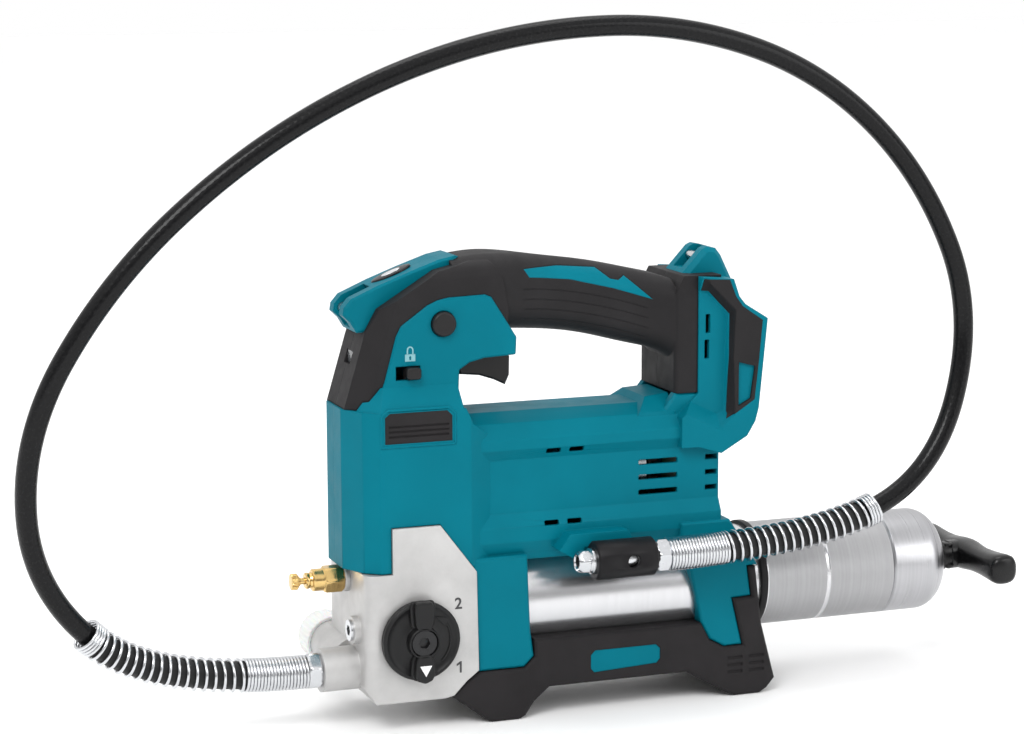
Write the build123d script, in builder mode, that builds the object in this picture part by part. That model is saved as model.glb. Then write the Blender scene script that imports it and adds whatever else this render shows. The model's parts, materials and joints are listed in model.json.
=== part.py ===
from build123d import *
import math
import os

# Battery grease gun. Millimetres, +Z up, +X to the rear (T-handle), -X to the outlet.
# Origin: centre of the footprint, at the height of the feet. The barrel's axis is along X at y = 0.

# ---------------------------------------------------------------- driving dimensions
BARREL_Z = 60.0            # height of the barrel's axis
TUBE_R = 28.5              # barrel tube, outer radius
TUBE_BORE_R = 26.5
KNURL_R = 29.0             # knurled band and end cap
TUBE_FRONT_X = -113.5
TUBE_REAR_X = 141.0
CAP_END_X = 178.0
CRADLE_R = 28.9            # the housing's cradle around the barrel

DRIVE_Z = 128.0            # height of the motor's and the crank's axis
PLUNGER_X = -147.0         # the plunger's vertical axis
CRANK_THROW = 4.5
CRANK_PIN_R = 3.0
PLUNGER_R = 4.0

HEAD_HALF_W = 35.5         # pump head, half width
COLUMN_HALF_W = 34.0       # front column of the housing
BODY_HALF_W = 31.0         # widest part of the motor housing
BODY_REAR_X = 28.5
STRIP_HALF_W = 26.0        # vent strip between the rear post and the battery mount
PANEL_HALF_W = 27.0        # recessed side panel
LEG_HALF_W = 33.0
UPPER_HALF_W = 26.0        # trigger housing
GRIP_HALF_W = 25.0         # dark skin on nose and rear post
MOUNT_HALF_W = 33.0        # battery mount
BASE_HALF_W = 34.0
WALL = 2.5
FIT = 0.05                 # radial clearance of a running fit

DIAL_X = -147.2
DIAL_Z = 50.2
DIAL_R = 21.2
OUTLET_Y = -12.0
OUTLET_Z = 32.0
BLEED_Z = 78.2
CHECK_Y = -18.0
CHECK_Z = 53.9

HOSE_R = 5.5
GUARD_BORE_R = 7.5
GUARD_R = 9.2
HOLDER_Y = -50.0
HOLDER_Z = 88.0
HOLDER_R = 10.5

MODULE = 0.77              # planetary stage
SUN_TEETH = 12
PLANET_TEETH = 18
RING_TEETH = 48
PLANET_COUNT = 3

os.makedirs("parts", exist_ok=True)


def save(piece, label):
    """Labels a finished piece and writes its STEP."""
    piece.part.label = label
    export_step(piece.part, f"parts/{label}.step")


def slab(points, half_width, corner=0.0, edge=0.0):
    """A closed XZ outline, extruded both ways along Y. corner rounds the outline, edge bevels its faces."""
    with BuildPart() as solid:
        with BuildSketch(Plane.XZ) as outline:
            with BuildLine():
                Polyline(*points, close=True)
            make_face()
            if corner:
                fillet(outline.vertices(), corner)
        extrude(amount=half_width, both=True)
        if edge:
            faces = solid.faces().filter_by(Axis.Y)
            chamfer(faces.edges(), edge)
    return solid.part


def x_rod(radius, x0, x1, y=0.0, z=0.0):
    """A round bar along X from x0 to x1."""
    with BuildPart() as solid:
        with BuildSketch(Plane.YZ.offset(x0)):
            with Locations((y, z)):
                Circle(radius)
        extrude(amount=x1 - x0)
    return solid.part


def y_rod(radius, y0, y1, x, z):
    """A round bar along Y from y0 to y1."""
    with BuildPart() as solid:
        with BuildSketch(Plane.XZ.offset(-y1)):
            with Locations((x, z)):
                Circle(radius)
        extrude(amount=y1 - y0)
    return solid.part


def block(x0, x1, y0, y1, z0, z1):
    """A plain block between two corners."""
    with BuildPart() as solid:
        with BuildSketch(Plane.XY.offset(z0)):
            with Locations(((x0 + x1) / 2, (y0 + y1) / 2)):
                Rectangle(x1 - x0, y1 - y0)
        extrude(amount=z1 - z0)
    return solid.part


# ---------------------------------------------------------------- outlines in XZ
HEAD_OUTLINE = [
    (-176.0, 86.0), (-161.4, 86.0), (-161.4, 110.5), (-135.0, 110.5), (-115.0, 84.0),
    (-114.0, 30.0), (-121.0, 24.7), (-128.0, 17.5), (-133.0, 16.5), (-170.9, 16.5), (-176.0, 24.0),
]
HEAD_OUTLINE_CLEAR = [      # the same outline with the housing's clearance
    (-190.0, 86.3), (-161.7, 86.3), (-161.7, 110.9), (-134.8, 110.9), (-114.7, 84.1),
    (-113.6, 29.8), (-121.3, 24.3), (-128.4, 17.1), (-133.0, 10.0), (-190.0, 10.0),
]
SIDE_PANEL = [
    (-168.0, 171.0), (-161.8, 186.9), (-155.4, 210.4), (-152.6, 215.8), (-138.1, 226.0),
    (-132.6, 228.4), (-126.8, 229.6), (-106.2, 230.3), (-102.6, 228.8), (-88.5, 206.8),
    (-88.9, 197.4), (-106.5, 196.6), (-114.9, 194.6), (-120.6, 191.0), (-121.2, 174.0),
    (-115.5, 163.0), (-120.0, 150.0), (-168.0, 150.0),
]
NOSE_OUTLINE = [
    (-181.2, 172.1), (-169.3, 212.0), (-162.5, 224.0), (-131.2, 243.2),
    (-112.0, 247.5), (-102.0, 247.8), (-96.0, 240.0), (-92.5, 222.0), (-94.0, 206.0),
    (-116.0, 197.0), (-121.0, 192.0), (-121.0, 172.1),
]
TOP_STRIP = [
    (-180.2, 221.0), (-179.6, 225.0), (-175.6, 229.6), (-159.8, 236.4), (-142.7, 242.8),
    (-126.4, 248.4), (-118.0, 250.0), (-115.0, 249.0), (-116.0, 240.0), (-131.5, 236.0),
    (-155.0, 224.0), (-162.8, 211.8), (-172.8, 211.6), (-176.1, 217.0),
]
TOP_STRIP_PLAN = (-185.0, -114.6, 27.0, 8.0)    # front, rear, width, corner radius
POST_OUTLINE = [
    (3.5, 170.4), (3.5, 225.0), (8.5, 234.3), (30.0, 234.3), (30.0, 170.4),
]
POST_CORE = [
    (6.0, 165.0), (6.0, 222.0), (11.0, 231.5), (30.0, 231.5), (30.0, 165.0),
]
POST_FOOT = [               # what the rear post stands on, and the shelf in front of it
    (3.5, 170.4), (30.0, 170.4), (30.0, 148.0), (-12.0, 148.0), (-5.0, 159.5),
]
SHELF_OUTLINE = [
    (-19.6, 159.0), (-10.8, 168.2), (12.0, 170.0), (12.0, 150.0), (-19.6, 150.0),
]
SHELF_SECTION = [
    (-25.0, 150.0), (-25.0, 161.0), (-13.0, 170.2), (13.0, 170.2), (25.0, 161.0), (25.0, 150.0),
]
REAR_HOOK = [
    (12.3, 233.5), (24.7, 246.9), (27.5, 248.2), (32.4, 247.2), (35.4, 243.4), (42.2, 229.5),
    (37.5, 222.0), (16.0, 224.0),
]
MOUNT_OUTLINE = [
    (14.0, 141.5), (27.5, 137.3), (42.8, 145.9), (47.7, 153.9), (49.6, 161.1), (54.4, 210.3),
    (40.9, 218.7), (37.4, 223.0), (34.0, 232.6), (16.5, 234.0), (16.5, 170.0), (4.0, 158.0),
    (4.0, 141.5),
]
STRIP_OUTLINE = [           # the vent strip between post and mount, and the wider mouth of its recess
    (2.0, 171.0), (2.0, 225.4), (14.0, 225.5), (20.6, 225.3), (33.0, 212.8), (32.2, 190.0),
    (31.5, 160.0), (27.5, 158.0),
]
STRIP_MOUTH = [
    (1.9, 162.0), (1.9, 241.0), (15.0, 240.8), (20.5, 230.5), (35.6, 215.6), (34.4, 191.0),
    (35.6, 158.0), (27.0, 150.0),
]
HANDLE_INLAY = [
    (-81.5, 241.5), (-60.4, 241.9), (-38.5, 240.0), (-31.3, 233.9), (-26.5, 232.9),
    (-22.6, 235.0), (-8.0, 222.0), (-30.0, 228.8), (-54.3, 234.6), (-78.6, 237.0),
]
REAR_PAD = [                # the dark skin on the battery mount, and the window in it
    (17.3, 226.4), (21.2, 226.0), (33.7, 213.2), (32.4, 158.4), (31.0, 155.8), (47.0, 165.9),
    (49.3, 186.4), (51.4, 209.4), (39.4, 217.6), (35.4, 223.0), (31.6, 232.4), (17.3, 233.2),
]
REAR_WINDOW = [(37.4, 187.0), (47.3, 184.2), (44.8, 166.6), (37.4, 162.6)]
SIDE_PAD = [
    (-164.5, 169.5), (-161.8, 171.6), (-130.4, 171.6), (-127.6, 168.8), (-127.6, 155.4),
    (-164.5, 155.4),
]
BASE_OUTLINE = [
    (-129.2, 16.8), (-110.2, 2.4), (-106.0, 0.0), (-90.0, 0.0), (-86.7, 1.6), (-81.7, 9.0),
    (-72.9, 16.2), (7.6, 16.2), (31.2, 2.6), (36.0, 0.0), (52.0, 0.0), (56.4, 2.6), (61.0, 7.9),
    (52.6, 39.8), (48.5, 72.6), (44.2, 72.6), (46.6, 55.6), (35.2, 55.2), (41.6, 28.3), (30.2, 28.2),
    (21.4, 33.1), (16.2, 43.0), (-81.3, 43.0), (-81.2, 33.6), (-87.0, 28.0), (-113.6, 28.0),
    (-121.3, 23.4), (-126.6, 18.2),
]
INSERT_OUTLINE = [          # the teal insert in each of the base's rails
    (-49.3, 24.0), (-49.3, 31.5), (-46.8, 34.0), (-11.0, 34.0), (-8.5, 31.5), (-8.5, 25.8),
    (-10.6, 23.4), (-47.2, 21.6),
]

# ---------------------------------------------------------------- shared places and sizes
PIN_FRONT = (-175.2, 223.2)
PIN_REAR = (24.6, 242.2)
COLLAR_R = 30.5
COLLAR_X0 = 54.0
COLLAR_X1 = 58.5
PAD_DEPTH = 1.5
LAMP_BACK_X = -169.5
FOOT_GROOVE_R = 12.0
SCREWS = [  # x, z and the height of the head's seat on the far side
    (-171.0, 165.0, 24.0), (-118.0, 158.5, 26.0), (-60.0, 155.0, 22.0), (12.0, 155.0, 22.0),
    (12.0, 98.5, 24.0), (-150.0, 206.0, 20.0), (25.0, 178.0, 22.5), (20.0, 145.0, 26.0),
]
SCREW_R = 1.5
SCREW_HEAD_R = 2.9
SCREW_HEAD_H = 2.4
BOSS_R = 3.6
BADGE_PLANE = Plane(origin=(-150.0, 0, 241.0), x_dir=(49.8, 0, 20.2), z_dir=(-20.2, 0, 49.8))


# ---------------------------------------------------------------- housing
def handle_loft(inset):
    """The handle bar: rounded sections along X. inset shrinks each section all round."""
    sections = [  # x, centre height, height, width, corner radius
        (-122.0, 228.0, 40.0, 49.0, 14.0),
        (-104.0, 229.8, 40.4, 48.6, 15.0),
        (-92.0, 229.6, 40.8, 45.6, 16.0),
        (-78.0, 228.2, 40.6, 38.0, 16.5),
        (-50.0, 224.6, 39.8, 34.5, 16.0),
        (-24.0, 219.0, 41.0, 36.0, 15.0),
        (-8.0, 215.2, 41.0, 40.0, 14.0),
        (5.0, 209.5, 45.0, 48.0, 12.0),
    ]
    with BuildPart() as bar:
        for x, z, height, width, corner in sections:
            with BuildSketch(Plane.YZ.offset(x)):
                with Locations((0, z)):
                    RectangleRounded(width - 2 * inset, height - 2 * inset, corner - inset)
        loft()
    return bar.part


def column(inset):
    """The tall front column: a bowed-front plan with a shoulder up to the trigger housing."""
    front = -182.4 + inset
    side = COLUMN_HALF_W - inset
    rear = -104.0 - inset
    with BuildPart() as body:
        with BuildSketch(Plane.XY.offset(86.5 + inset)) as plan:
            with BuildLine():
                Polyline((front, 13), (-175 + inset, 28 - inset), (-167 + inset, side), (-117, side),
                         (rear, PANEL_HALF_W - inset), (rear, inset - PANEL_HALF_W), (-117, -side),
                         (-167 + inset, -side), (-175 + inset, inset - 28), (front, -13), close=True)
            make_face()
            fillet(plan.vertices(), 1.6)
        extrude(amount=85.5 - inset)
        with BuildSketch(Plane.XY.offset(172)):
            with BuildLine():
                Polyline((-176 + inset, 24 - inset), (-167 + inset, side), (-121 - inset, side),
                         (-121 - inset, -side), (-167 + inset, -side), (-176 + inset, inset - 24),
                         close=True)
            make_face()
        with BuildSketch(Plane.XY.offset(184 - inset)):
            with BuildLine():
                inner = UPPER_HALF_W - inset
                Polyline((-168 + inset, inner - 6), (-163 + inset, inner), (-122 - inset, inner),
                         (-122 - inset, -inner), (-163 + inset, -inner), (-168 + inset, 6 - inner),
                         close=True)
            make_face()
        loft()
        add(slab([(-121 - inset, 190), (-121 - inset, 174.5 - inset), (-115.5 - inset, 163 - inset),
                  (-103, 154.5 - inset), (-95, 154.5 - inset), (-95, 190)], 40), mode=Mode.SUBTRACT)
    return body.part


def motor_body(inset):
    """The motor housing above the barrel: one cross-section along X."""
    half = [
        (0, 165 - inset), (13, 165 - inset), (24 - inset, 160.5 - inset), (30.5 - inset, 152.5 - inset),
        (30.5 - inset, 147), (PANEL_HALF_W - inset, 141), (PANEL_HALF_W - inset, 112),
        (BODY_HALF_W - inset, 105), (BODY_HALF_W - inset, 97), (28 - inset, 90), (27 - inset, 86 + inset),
        (0, 86 + inset),
    ]
    outline = half + [(-y, z) for y, z in reversed(half[1:-1])]
    with BuildPart() as body:
        with BuildSketch(Plane.YZ.offset(-118 + inset)) as section:
            with BuildLine():
                Polyline(*outline, close=True)
            make_face()
            fillet(section.vertices(), 1.0)
        extrude(amount=BODY_REAR_X + 118 - 2 * inset)
    return body.part


def top_strip():
    """The sloping strip on the nose, round-ended in plan."""
    front, rear, width, corner = TOP_STRIP_PLAN
    with BuildPart() as plan:
        with BuildSketch(Plane.XY.offset(200)):
            with Locations(((front + rear) / 2, 0)):
                RectangleRounded(rear - front, width, corner)
        extrude(amount=60)
    return slab(TOP_STRIP, width / 2, edge=1.2) & plan.part


def shelf():
    """The shelf in front of the rear post: the housing's cross-section carried higher."""
    with BuildPart() as ridge:
        with BuildSketch(Plane.YZ.offset(-25)):
            with BuildLine():
                Polyline(*SHELF_SECTION, close=True)
            make_face()
        extrude(amount=45)
    return ridge.part & slab(SHELF_OUTLINE, 40.0)


def strip_recess(side, inset):
    """The wedge over a vent strip, on one side: its floor is the strip, its slopes lead up to the mount."""
    with BuildPart() as wedge:
        for half_width, outline in ((STRIP_HALF_W, STRIP_OUTLINE), (MOUNT_HALF_W + 0.1, STRIP_MOUTH)):
            with BuildSketch(Plane.XZ.offset(-side * (half_width - inset))):
                with BuildLine():
                    Polyline(*outline, close=True)
                make_face()
        loft(ruled=True)
    return wedge.part


def mount_form(inset):
    """The battery mount, flaring out behind the vent strips. inset is the depth below its side faces."""
    with BuildPart() as mount:
        add(slab(MOUNT_OUTLINE, MOUNT_HALF_W - inset))
        add([strip_recess(-1, inset), strip_recess(1, inset)], mode=Mode.SUBTRACT)
    return mount.part


def housing_solid():
    """The outer form of both halves, before it is hollowed and split."""
    front_leg = [(-117, 90), (-113.6, 28.4), (-87.2, 28.4), (-81.6, 33.8), (-83.5, 48), (-85.3, 90)]
    rear_leg = [(4, 90), (9.7, 73.1), (16.5, 43.2), (21.8, 33.4), (30.4, 28.6), (41.2, 28.8),
                (34.8, 55.6), (46.2, 56), (43.8, 73), (50, 73.2), (46, 80), (33, 100), (4, 100)]
    front_sole = [(-131, 17.5), (-118, 14), (-108, 20), (-108, 32), (-113.6, 32), (-113.6, 29.8),
                  (-121.3, 23.7)]
    holder_boss = [(-70, 92.5), (-64, 101), (-30.5, 101), (-26, 92.5), (-30.5, 86.5), (-60, 86.5)]
    with BuildPart() as body:
        add(column(0))
        add(motor_body(0))
        add(slab(SIDE_PANEL, UPPER_HALF_W, corner=1.2, edge=0.8))
        add(top_strip())
        add(slab(REAR_HOOK, 14.0, edge=2.5))
        add(mount_form(0.0))
        add(slab(POST_CORE, GRIP_HALF_W - 2.6))
        add(slab(front_leg, LEG_HALF_W, edge=1.2))
        add(slab(rear_leg, LEG_HALF_W, edge=1.0))
        add(slab(front_sole, 30.0))
        add(slab(POST_FOOT, GRIP_HALF_W - 0.1, edge=1.5))
        add(shelf())
        add(handle_loft(2.6))
        with BuildSketch(Plane.XZ.offset(BODY_HALF_W - 4)):
            with BuildLine():
                Polyline(*holder_boss, close=True)
            make_face()
        extrude(amount=-HOLDER_Y - HOLDER_R - BODY_HALF_W + 5.5)
        inlays = handle_loft(0.0) & slab(HANDLE_INLAY, 30.0)
        add(inlays)
        add(slab(HEAD_OUTLINE_CLEAR, 60.0), mode=Mode.SUBTRACT)
        add(x_rod(CRADLE_R, -116.0, 70.0, z=BARREL_Z), mode=Mode.SUBTRACT)
        add(x_rod(HOLDER_R + 0.4, -56.0, -19.0, HOLDER_Y - 0.3, HOLDER_Z), mode=Mode.SUBTRACT)
    return body.part


def vents():
    """Cooling slots, cut through both sides."""
    small = [(-69.0, 145.0), (-55.8, 145.0), (-70.5, 105.8), (-57.4, 105.8)]
    with BuildPart() as cutters:
        with BuildSketch(Plane.XZ):
            with Locations(*small):
                RectangleRounded(8.4, 2.8, 0.8)
            with Locations((-7.4, 134.3), (-7.4, 126.0), (-7.4, 117.7)):
                RectangleRounded(23.0, 3.0, 0.8)
            with Locations((24.0, 134.7), (24.0, 126.2), (24.0, 117.7)):
                Rectangle(7.0, 2.8)
            with Locations((22.0, 208.0), (21.4, 194.0)):
                RectangleRounded(2.8, 10.4, 0.6)
        extrude(amount=MOUNT_HALF_W + 2, both=True)
    return cutters.part


def cavity():
    """The hollow inside both halves."""
    trigger_room = [(-158, 180), (-151, 212), (-129, 225), (-104, 226.5), (-90.5, 206), (-91.5, 198.8),
                    (-105, 197.2), (-116, 193.5), (-122.5, 186.5), (-124, 176), (-160, 176)]
    with BuildPart() as hollow:
        add(column(WALL))
        add(motor_body(WALL))
        add(block(-170, 37, -22, 22, 86, 92), mode=Mode.SUBTRACT)
        add(block(-114, 37, -29, 29, 86, 92), mode=Mode.SUBTRACT)
        add(slab(trigger_room, UPPER_HALF_W - 3))
        add(slab([(-166, 190), (-160, 222), (-132, 236), (-100, 241), (-100, 226), (-130, 224), (-152, 210),
                  (-158, 188)], 13.0))
        add(handle_loft(5.2))
        add(slab([(16, 130), (16, 222), (36, 220), (36, 158), (33, 148), (25.5, 141), (25.5, 130)],
                 STRIP_HALF_W - 3))
        add(slab([(-12, 150), (-12, 166), (8.8, 172), (8.8, 222), (22, 226), (22, 150)], 19.0))
        for x, z, _ in SCREWS:
            add(y_rod(BOSS_R, -40, 40, x, z), mode=Mode.SUBTRACT)
    return hollow.part


def nose_core(inset, half_width):
    """The housing's own plastic under the dark nose skin."""
    with BuildPart() as core:
        with BuildSketch(Plane.XZ):
            with BuildLine():
                Polyline(*NOSE_OUTLINE, close=True)
            make_face()
            offset(amount=-inset, kind=Kind.INTERSECTION)
        extrude(amount=half_width, both=True)
    return core.part


def make_housing():
    """Hollows the outer form, opens its windows, and returns the solid form and the shell."""
    with BuildPart() as form:
        add(housing_solid())
        add(nose_core(2.5, 17.0))
    rear_pocket = [(39.5, 160), (39.5, 212), (63, 220), (63, 150)]
    cuts = [
        cavity(), vents(), slab(rear_pocket, 23.0), block(44, 49, -27, 27, 150, 212),
        block(35, 40.5, -18.2, 18.2, 161.8, 207.2),
        block(-117.5, -84.0, -8.3, 8.3, 176, 212), y_rod(6.9, -30, -15, -129.5, 216.0),
        block(-155.8, -142.4, -30, -20, 187.3, 194.7), strap_slots(), badge_recess(), lamp_seat(),
        slab(REAR_PAD, MOUNT_HALF_W + 2) - mount_form(PAD_DEPTH),
        slab(SIDE_PAD, COLUMN_HALF_W + 2) & side_pad_layer(),
        y_rod(2.5, -9.0, 9.0, *PIN_FRONT), y_rod(2.5, -9.0, 9.0, *PIN_REAR),
        x_rod(COLLAR_R + 0.1, COLLAR_X0 - 0.1, 80, z=BARREL_Z),
    ]
    for x, z, seat in SCREWS:
        cuts.append(y_rod(SCREW_R, -14.0, seat, x, z))
        cuts.append(y_rod(SCREW_HEAD_R + 0.2, seat, 45.0, x, z))
    with BuildPart() as shell:
        add(form.part)
        add(cuts, mode=Mode.SUBTRACT)
    return form.part, shell.part


def side_pad_layer():
    """The two outer layers of the column where the ribbed pads lie."""
    with BuildPart() as layer:
        add(block(-170, -120, -40, -COLUMN_HALF_W + PAD_DEPTH, 150, 175))
        add(block(-170, -120, COLUMN_HALF_W - PAD_DEPTH, 40, 150, 175))
    return layer.part


def strap_slots():
    """The strap's way over the two steel pins."""
    with BuildPart() as slots:
        add(slab([(-186, 216), (-186, 232), (-166.5, 238), (-161.5, 233.0), (-169.5, 218.5),
                  (-178.0, 209)], 5.5))
        add(slab([(14.5, 236.4), (10.0, 241), (20.0, 254), (31.0, 254), (30.0, 235.8)], 5.5))
    return slots.part


def lamp_seat():
    """The recess for the work lamp's lens in the nose."""
    return block(-190.0, LAMP_BACK_X, -5.0, 5.0, 194.0, 201.0)


def badge_recess():
    """The oval recess for the badge on the sloping top strip."""
    with BuildPart() as recess:
        with BuildSketch(BADGE_PLANE.offset(-1.2)):
            Ellipse(11.6, 6.2)
        extrude(amount=8)
    return recess.part


def half(part, side):
    """The -Y half (side -1) or the +Y half (side 1) of a part."""
    with BuildPart() as piece:
        add(part)
        split(bisect_by=Plane.XZ, keep=Keep.TOP if side < 0 else Keep.BOTTOM)
    return piece.part


# ---------------------------------------------------------------- soft skins, pads and base
def grip_skin(form):
    """The soft skin of nose, handle, rear post and battery mount, around the housing's form."""
    with BuildPart() as nose:
        with BuildSketch(Plane.XZ):
            with BuildLine():
                Polyline(*NOSE_OUTLINE, close=True)
            make_face()
        extrude(amount=GRIP_HALF_W, both=True)
        front = nose.faces().sort_by(Axis.X)[:1].edges().filter_by(Axis.Y, reverse=True)
        chamfer(front, 9.0)
        top = nose.edges().filter_by(Axis.Y, reverse=True).group_by(Axis.Z)[-1]
        fillet(top, 9.0)
    with BuildPart() as post:
        with BuildSketch(Plane.XZ):
            with BuildLine():
                Polyline(*POST_OUTLINE, close=True)
            make_face()
        extrude(amount=GRIP_HALF_W, both=True)
        fillet(post.faces().sort_by(Axis.X)[:1].edges().filter_by(Axis.Z), 3.0)
    with BuildPart() as skin:
        add([nose.part, post.part, handle_loft(0.0)])
        add([form, lamp_seat(), strap_slots(), badge_recess()], mode=Mode.SUBTRACT)
        add(handle_loft(2.6), mode=Mode.SUBTRACT)
    return skin.part


def insert_floor():
    """All that lies deeper than the inserts."""
    return block(-60, 0, 1.5 - BASE_HALF_W, BASE_HALF_W - 1.5, 10, 50)


def make_base(form):
    """The rubber base: two rails joined under the barrel, with four feet."""
    with BuildPart() as base:
        add(slab(BASE_OUTLINE, BASE_HALF_W, edge=1.2))
        cuts = [x_rod(CRADLE_R, -130, 70, z=BARREL_Z), slab(HEAD_OUTLINE_CLEAR, 50.0), form]
        cuts.append(x_rod(COLLAR_R + 0.1, COLLAR_X0 - 0.1, 80, z=BARREL_Z))
        cuts.append(x_rod(FOOT_GROOVE_R, -135, 70))
        cuts.append(slab(INSERT_OUTLINE, 50.0) - insert_floor())
        for x in (31.0, 44.0):
            for z in (13.0, 17.0, 21.0):
                cuts.append(block(x + 1, x + 10, -40, 0.7 - BASE_HALF_W, z, z + 1.6))
                cuts.append(block(x + 1, x + 10, BASE_HALF_W - 0.7, 40, z, z + 1.6))
        add(cuts, mode=Mode.SUBTRACT)
    return base.part


housing_form, housing_shell = make_housing()
with BuildPart() as housing_left:
    add(half(housing_shell, -1))
save(housing_left, "housing_left")
with BuildPart() as housing_right:
    add(half(housing_shell, 1))
save(housing_right, "housing_right")

skin = grip_skin(housing_form)
mount_skin = (slab(REAR_PAD, MOUNT_HALF_W) & mount_form(0.0)) - mount_form(PAD_DEPTH)
mount_skin = mount_skin - slab(REAR_WINDOW, 40.0)
with BuildPart() as grip_left:
    add(half(skin, -1))
    add(half(mount_skin, -1))
save(grip_left, "grip_left")
with BuildPart() as grip_right:
    add(half(skin, 1))
    add(half(mount_skin, 1))
save(grip_right, "grip_right")

with BuildPart() as side_pads:
    add(slab(SIDE_PAD, COLUMN_HALF_W) & side_pad_layer())
    for rib_z in (158.6, 161.2, 163.8):
        grooves = block(-162.5, -129.5, -COLUMN_HALF_W, COLUMN_HALF_W, rib_z, rib_z + 1.0)
        groove_floor = block(-163.0, -129.0, 0.6 - COLUMN_HALF_W, COLUMN_HALF_W - 0.6, rib_z - 1, rib_z + 2)
        add(grooves - groove_floor, mode=Mode.SUBTRACT)
save(side_pads, "side_pads")

with BuildPart() as base_guard:
    add(make_base(housing_form))
save(base_guard, "base_guard")

with BuildPart() as rail_inserts:
    add(slab(INSERT_OUTLINE, BASE_HALF_W - 0.3) - insert_floor())
save(rail_inserts, "rail_inserts")

with BuildPart() as badge:
    with BuildSketch(BADGE_PLANE.offset(-1.2)):
        Ellipse(11.4, 6.0)
    extrude(amount=1.0)
save(badge, "badge")

with BuildPart() as strap_pins:
    for pin_x, pin_z in (PIN_FRONT, PIN_REAR):
        add(y_rod(2.5, -9.0, 9.0, pin_x, pin_z))
save(strap_pins, "strap_pins")

with BuildPart() as housing_screws:
    for screw_x, screw_z, seat_y in SCREWS:
        add(y_rod(SCREW_R, -14.0, seat_y, screw_x, screw_z))
        add(y_rod(SCREW_HEAD_R, seat_y, seat_y + SCREW_HEAD_H, screw_x, screw_z))
        with BuildSketch(Plane.XZ.offset(-seat_y - SCREW_HEAD_H)):
            with Locations((screw_x, screw_z)):
                RegularPolygon(1.6, 6)
        extrude(amount=1.4, mode=Mode.SUBTRACT)
save(housing_screws, "housing_screws")

# ---------------------------------------------------------------- lamp and electrics
with BuildPart() as lamp_lens:
    with BuildSketch(Plane.YZ.offset(LAMP_BACK_X - 3.0)):
        with Locations((0, 197.5)):
            RectangleRounded(9.6, 6.4, 1.5)
    extrude(amount=3.0)
save(lamp_lens, "lamp_lens")

with BuildPart() as terminal_block:
    add(block(35.2, 43.0, -18.0, 18.0, 162.0, 207.0))
    fillet(terminal_block.edges().filter_by(Axis.X), 2.0)
    add([block(40.0, 44, y - 1.6, y + 1.6, 168.0, 186.0) for y in (-11.0, 0.0, 11.0)], mode=Mode.SUBTRACT)
save(terminal_block, "terminal_block")

with BuildPart() as terminal_blades:
    for blade_y in (-11.0, 0.0, 11.0):
        add(block(40.0, 47.0, blade_y - 0.4, blade_y + 0.4, 169.0, 184.0))
save(terminal_blades, "terminal_blades")

with BuildPart() as control_board:
    add(block(14.0, 15.6, -18.0, 18.0, 103.0, 150.0))
    for chip_y in (-10.0, 0.0, 10.0):
        add(block(15.6, 20.0, chip_y - 3.0, chip_y + 3.0, 108.0, 118.0))
save(control_board, "control_board")

# ---------------------------------------------------------------- pump head
PORT_X = -173.0
PORT_Z = 32.0
CHECK_BORE_R = 4.0

with BuildPart() as pump_head:
    with BuildSketch(Plane.XZ):
        with BuildLine():
            Polyline(*HEAD_OUTLINE, close=True)
        make_face()
    extrude(amount=HEAD_HALF_W, both=True)
    front_corners = pump_head.edges().filter_by(Axis.Z).filter_by_position(Axis.X, -177, -175)
    fillet(front_corners, 6.5)
    with BuildSketch(Plane.YZ.offset(-195.5)):
        with Locations((OUTLET_Y, OUTLET_Z)):
            Circle(11.7)
    extrude(amount=25.0)
    with BuildSketch(Plane.YZ.offset(-179.4)):
        with Locations((CHECK_Y, CHECK_Z)):
            Circle(7.6)
    extrude(amount=8.0)
    with BuildSketch(Plane.XZ.offset(-46.0)):
        with Locations((PORT_X, PORT_Z)):
            Circle(12.5)
    extrude(amount=46.0)
    with BuildSketch(Plane.YZ.offset(-116.0)):
        with Locations((0, BARREL_Z)):
            Circle(24.5)
    extrude(amount=14.0)
    passages = [
        x_rod(3.0, -196, -150, OUTLET_Y, OUTLET_Z),
        x_rod(CHECK_BORE_R, -180, -160, CHECK_Y, CHECK_Z),
        x_rod(7.0, -143, -101, z=BARREL_Z),
        x_rod(3.0, -177, -170, z=BLEED_Z),
        y_rod(6.0, 24.0, 47.0, PORT_X, PORT_Z),
        y_rod(5.0 + FIT, -36.0, -18.0, DIAL_X, DIAL_Z),
    ]
    add(passages, mode=Mode.SUBTRACT)
    with BuildSketch(Plane.XY.offset(46.0)):
        with Locations((PLUNGER_X, 0)):
            Circle(PLUNGER_R + FIT)
    extrude(amount=66.0, mode=Mode.SUBTRACT)
    with BuildSketch(Plane.XY.offset(100.0)):
        with Locations((PLUNGER_X, 0)):
            Circle(7.0)
    extrude(amount=12.0, mode=Mode.SUBTRACT)
    with BuildSketch(Plane.XY.offset(96.0)):
        with Locations(*[(x, y) for x in (-157.0, -139.0) for y in (-22.0, 22.0)]):
            Circle(2.5)
    extrude(amount=16.0, mode=Mode.SUBTRACT)
save(pump_head, "pump_head")

with BuildPart() as filler_cap:
    add(y_rod(14.5, 40.0, 60.5, PORT_X, PORT_Z))
    fillet(filler_cap.faces().sort_by(Axis.Y)[-1].edges(), 2.5)
    add(y_rod(12.6, 39.0, 57.5, PORT_X, PORT_Z), mode=Mode.SUBTRACT)
save(filler_cap, "filler_cap")

with BuildPart() as check_plug:
    add(x_rod(5.6, -181.0, -179.4, CHECK_Y, CHECK_Z))
    add(x_rod(CHECK_BORE_R, -179.4, -174.0, CHECK_Y, CHECK_Z))
    with BuildSketch(Plane.YZ.offset(-181.0)):
        with Locations((CHECK_Y, CHECK_Z)):
            RegularPolygon(3.0, 6)
    extrude(amount=4.0, mode=Mode.SUBTRACT)
save(check_plug, "check_plug")

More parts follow.
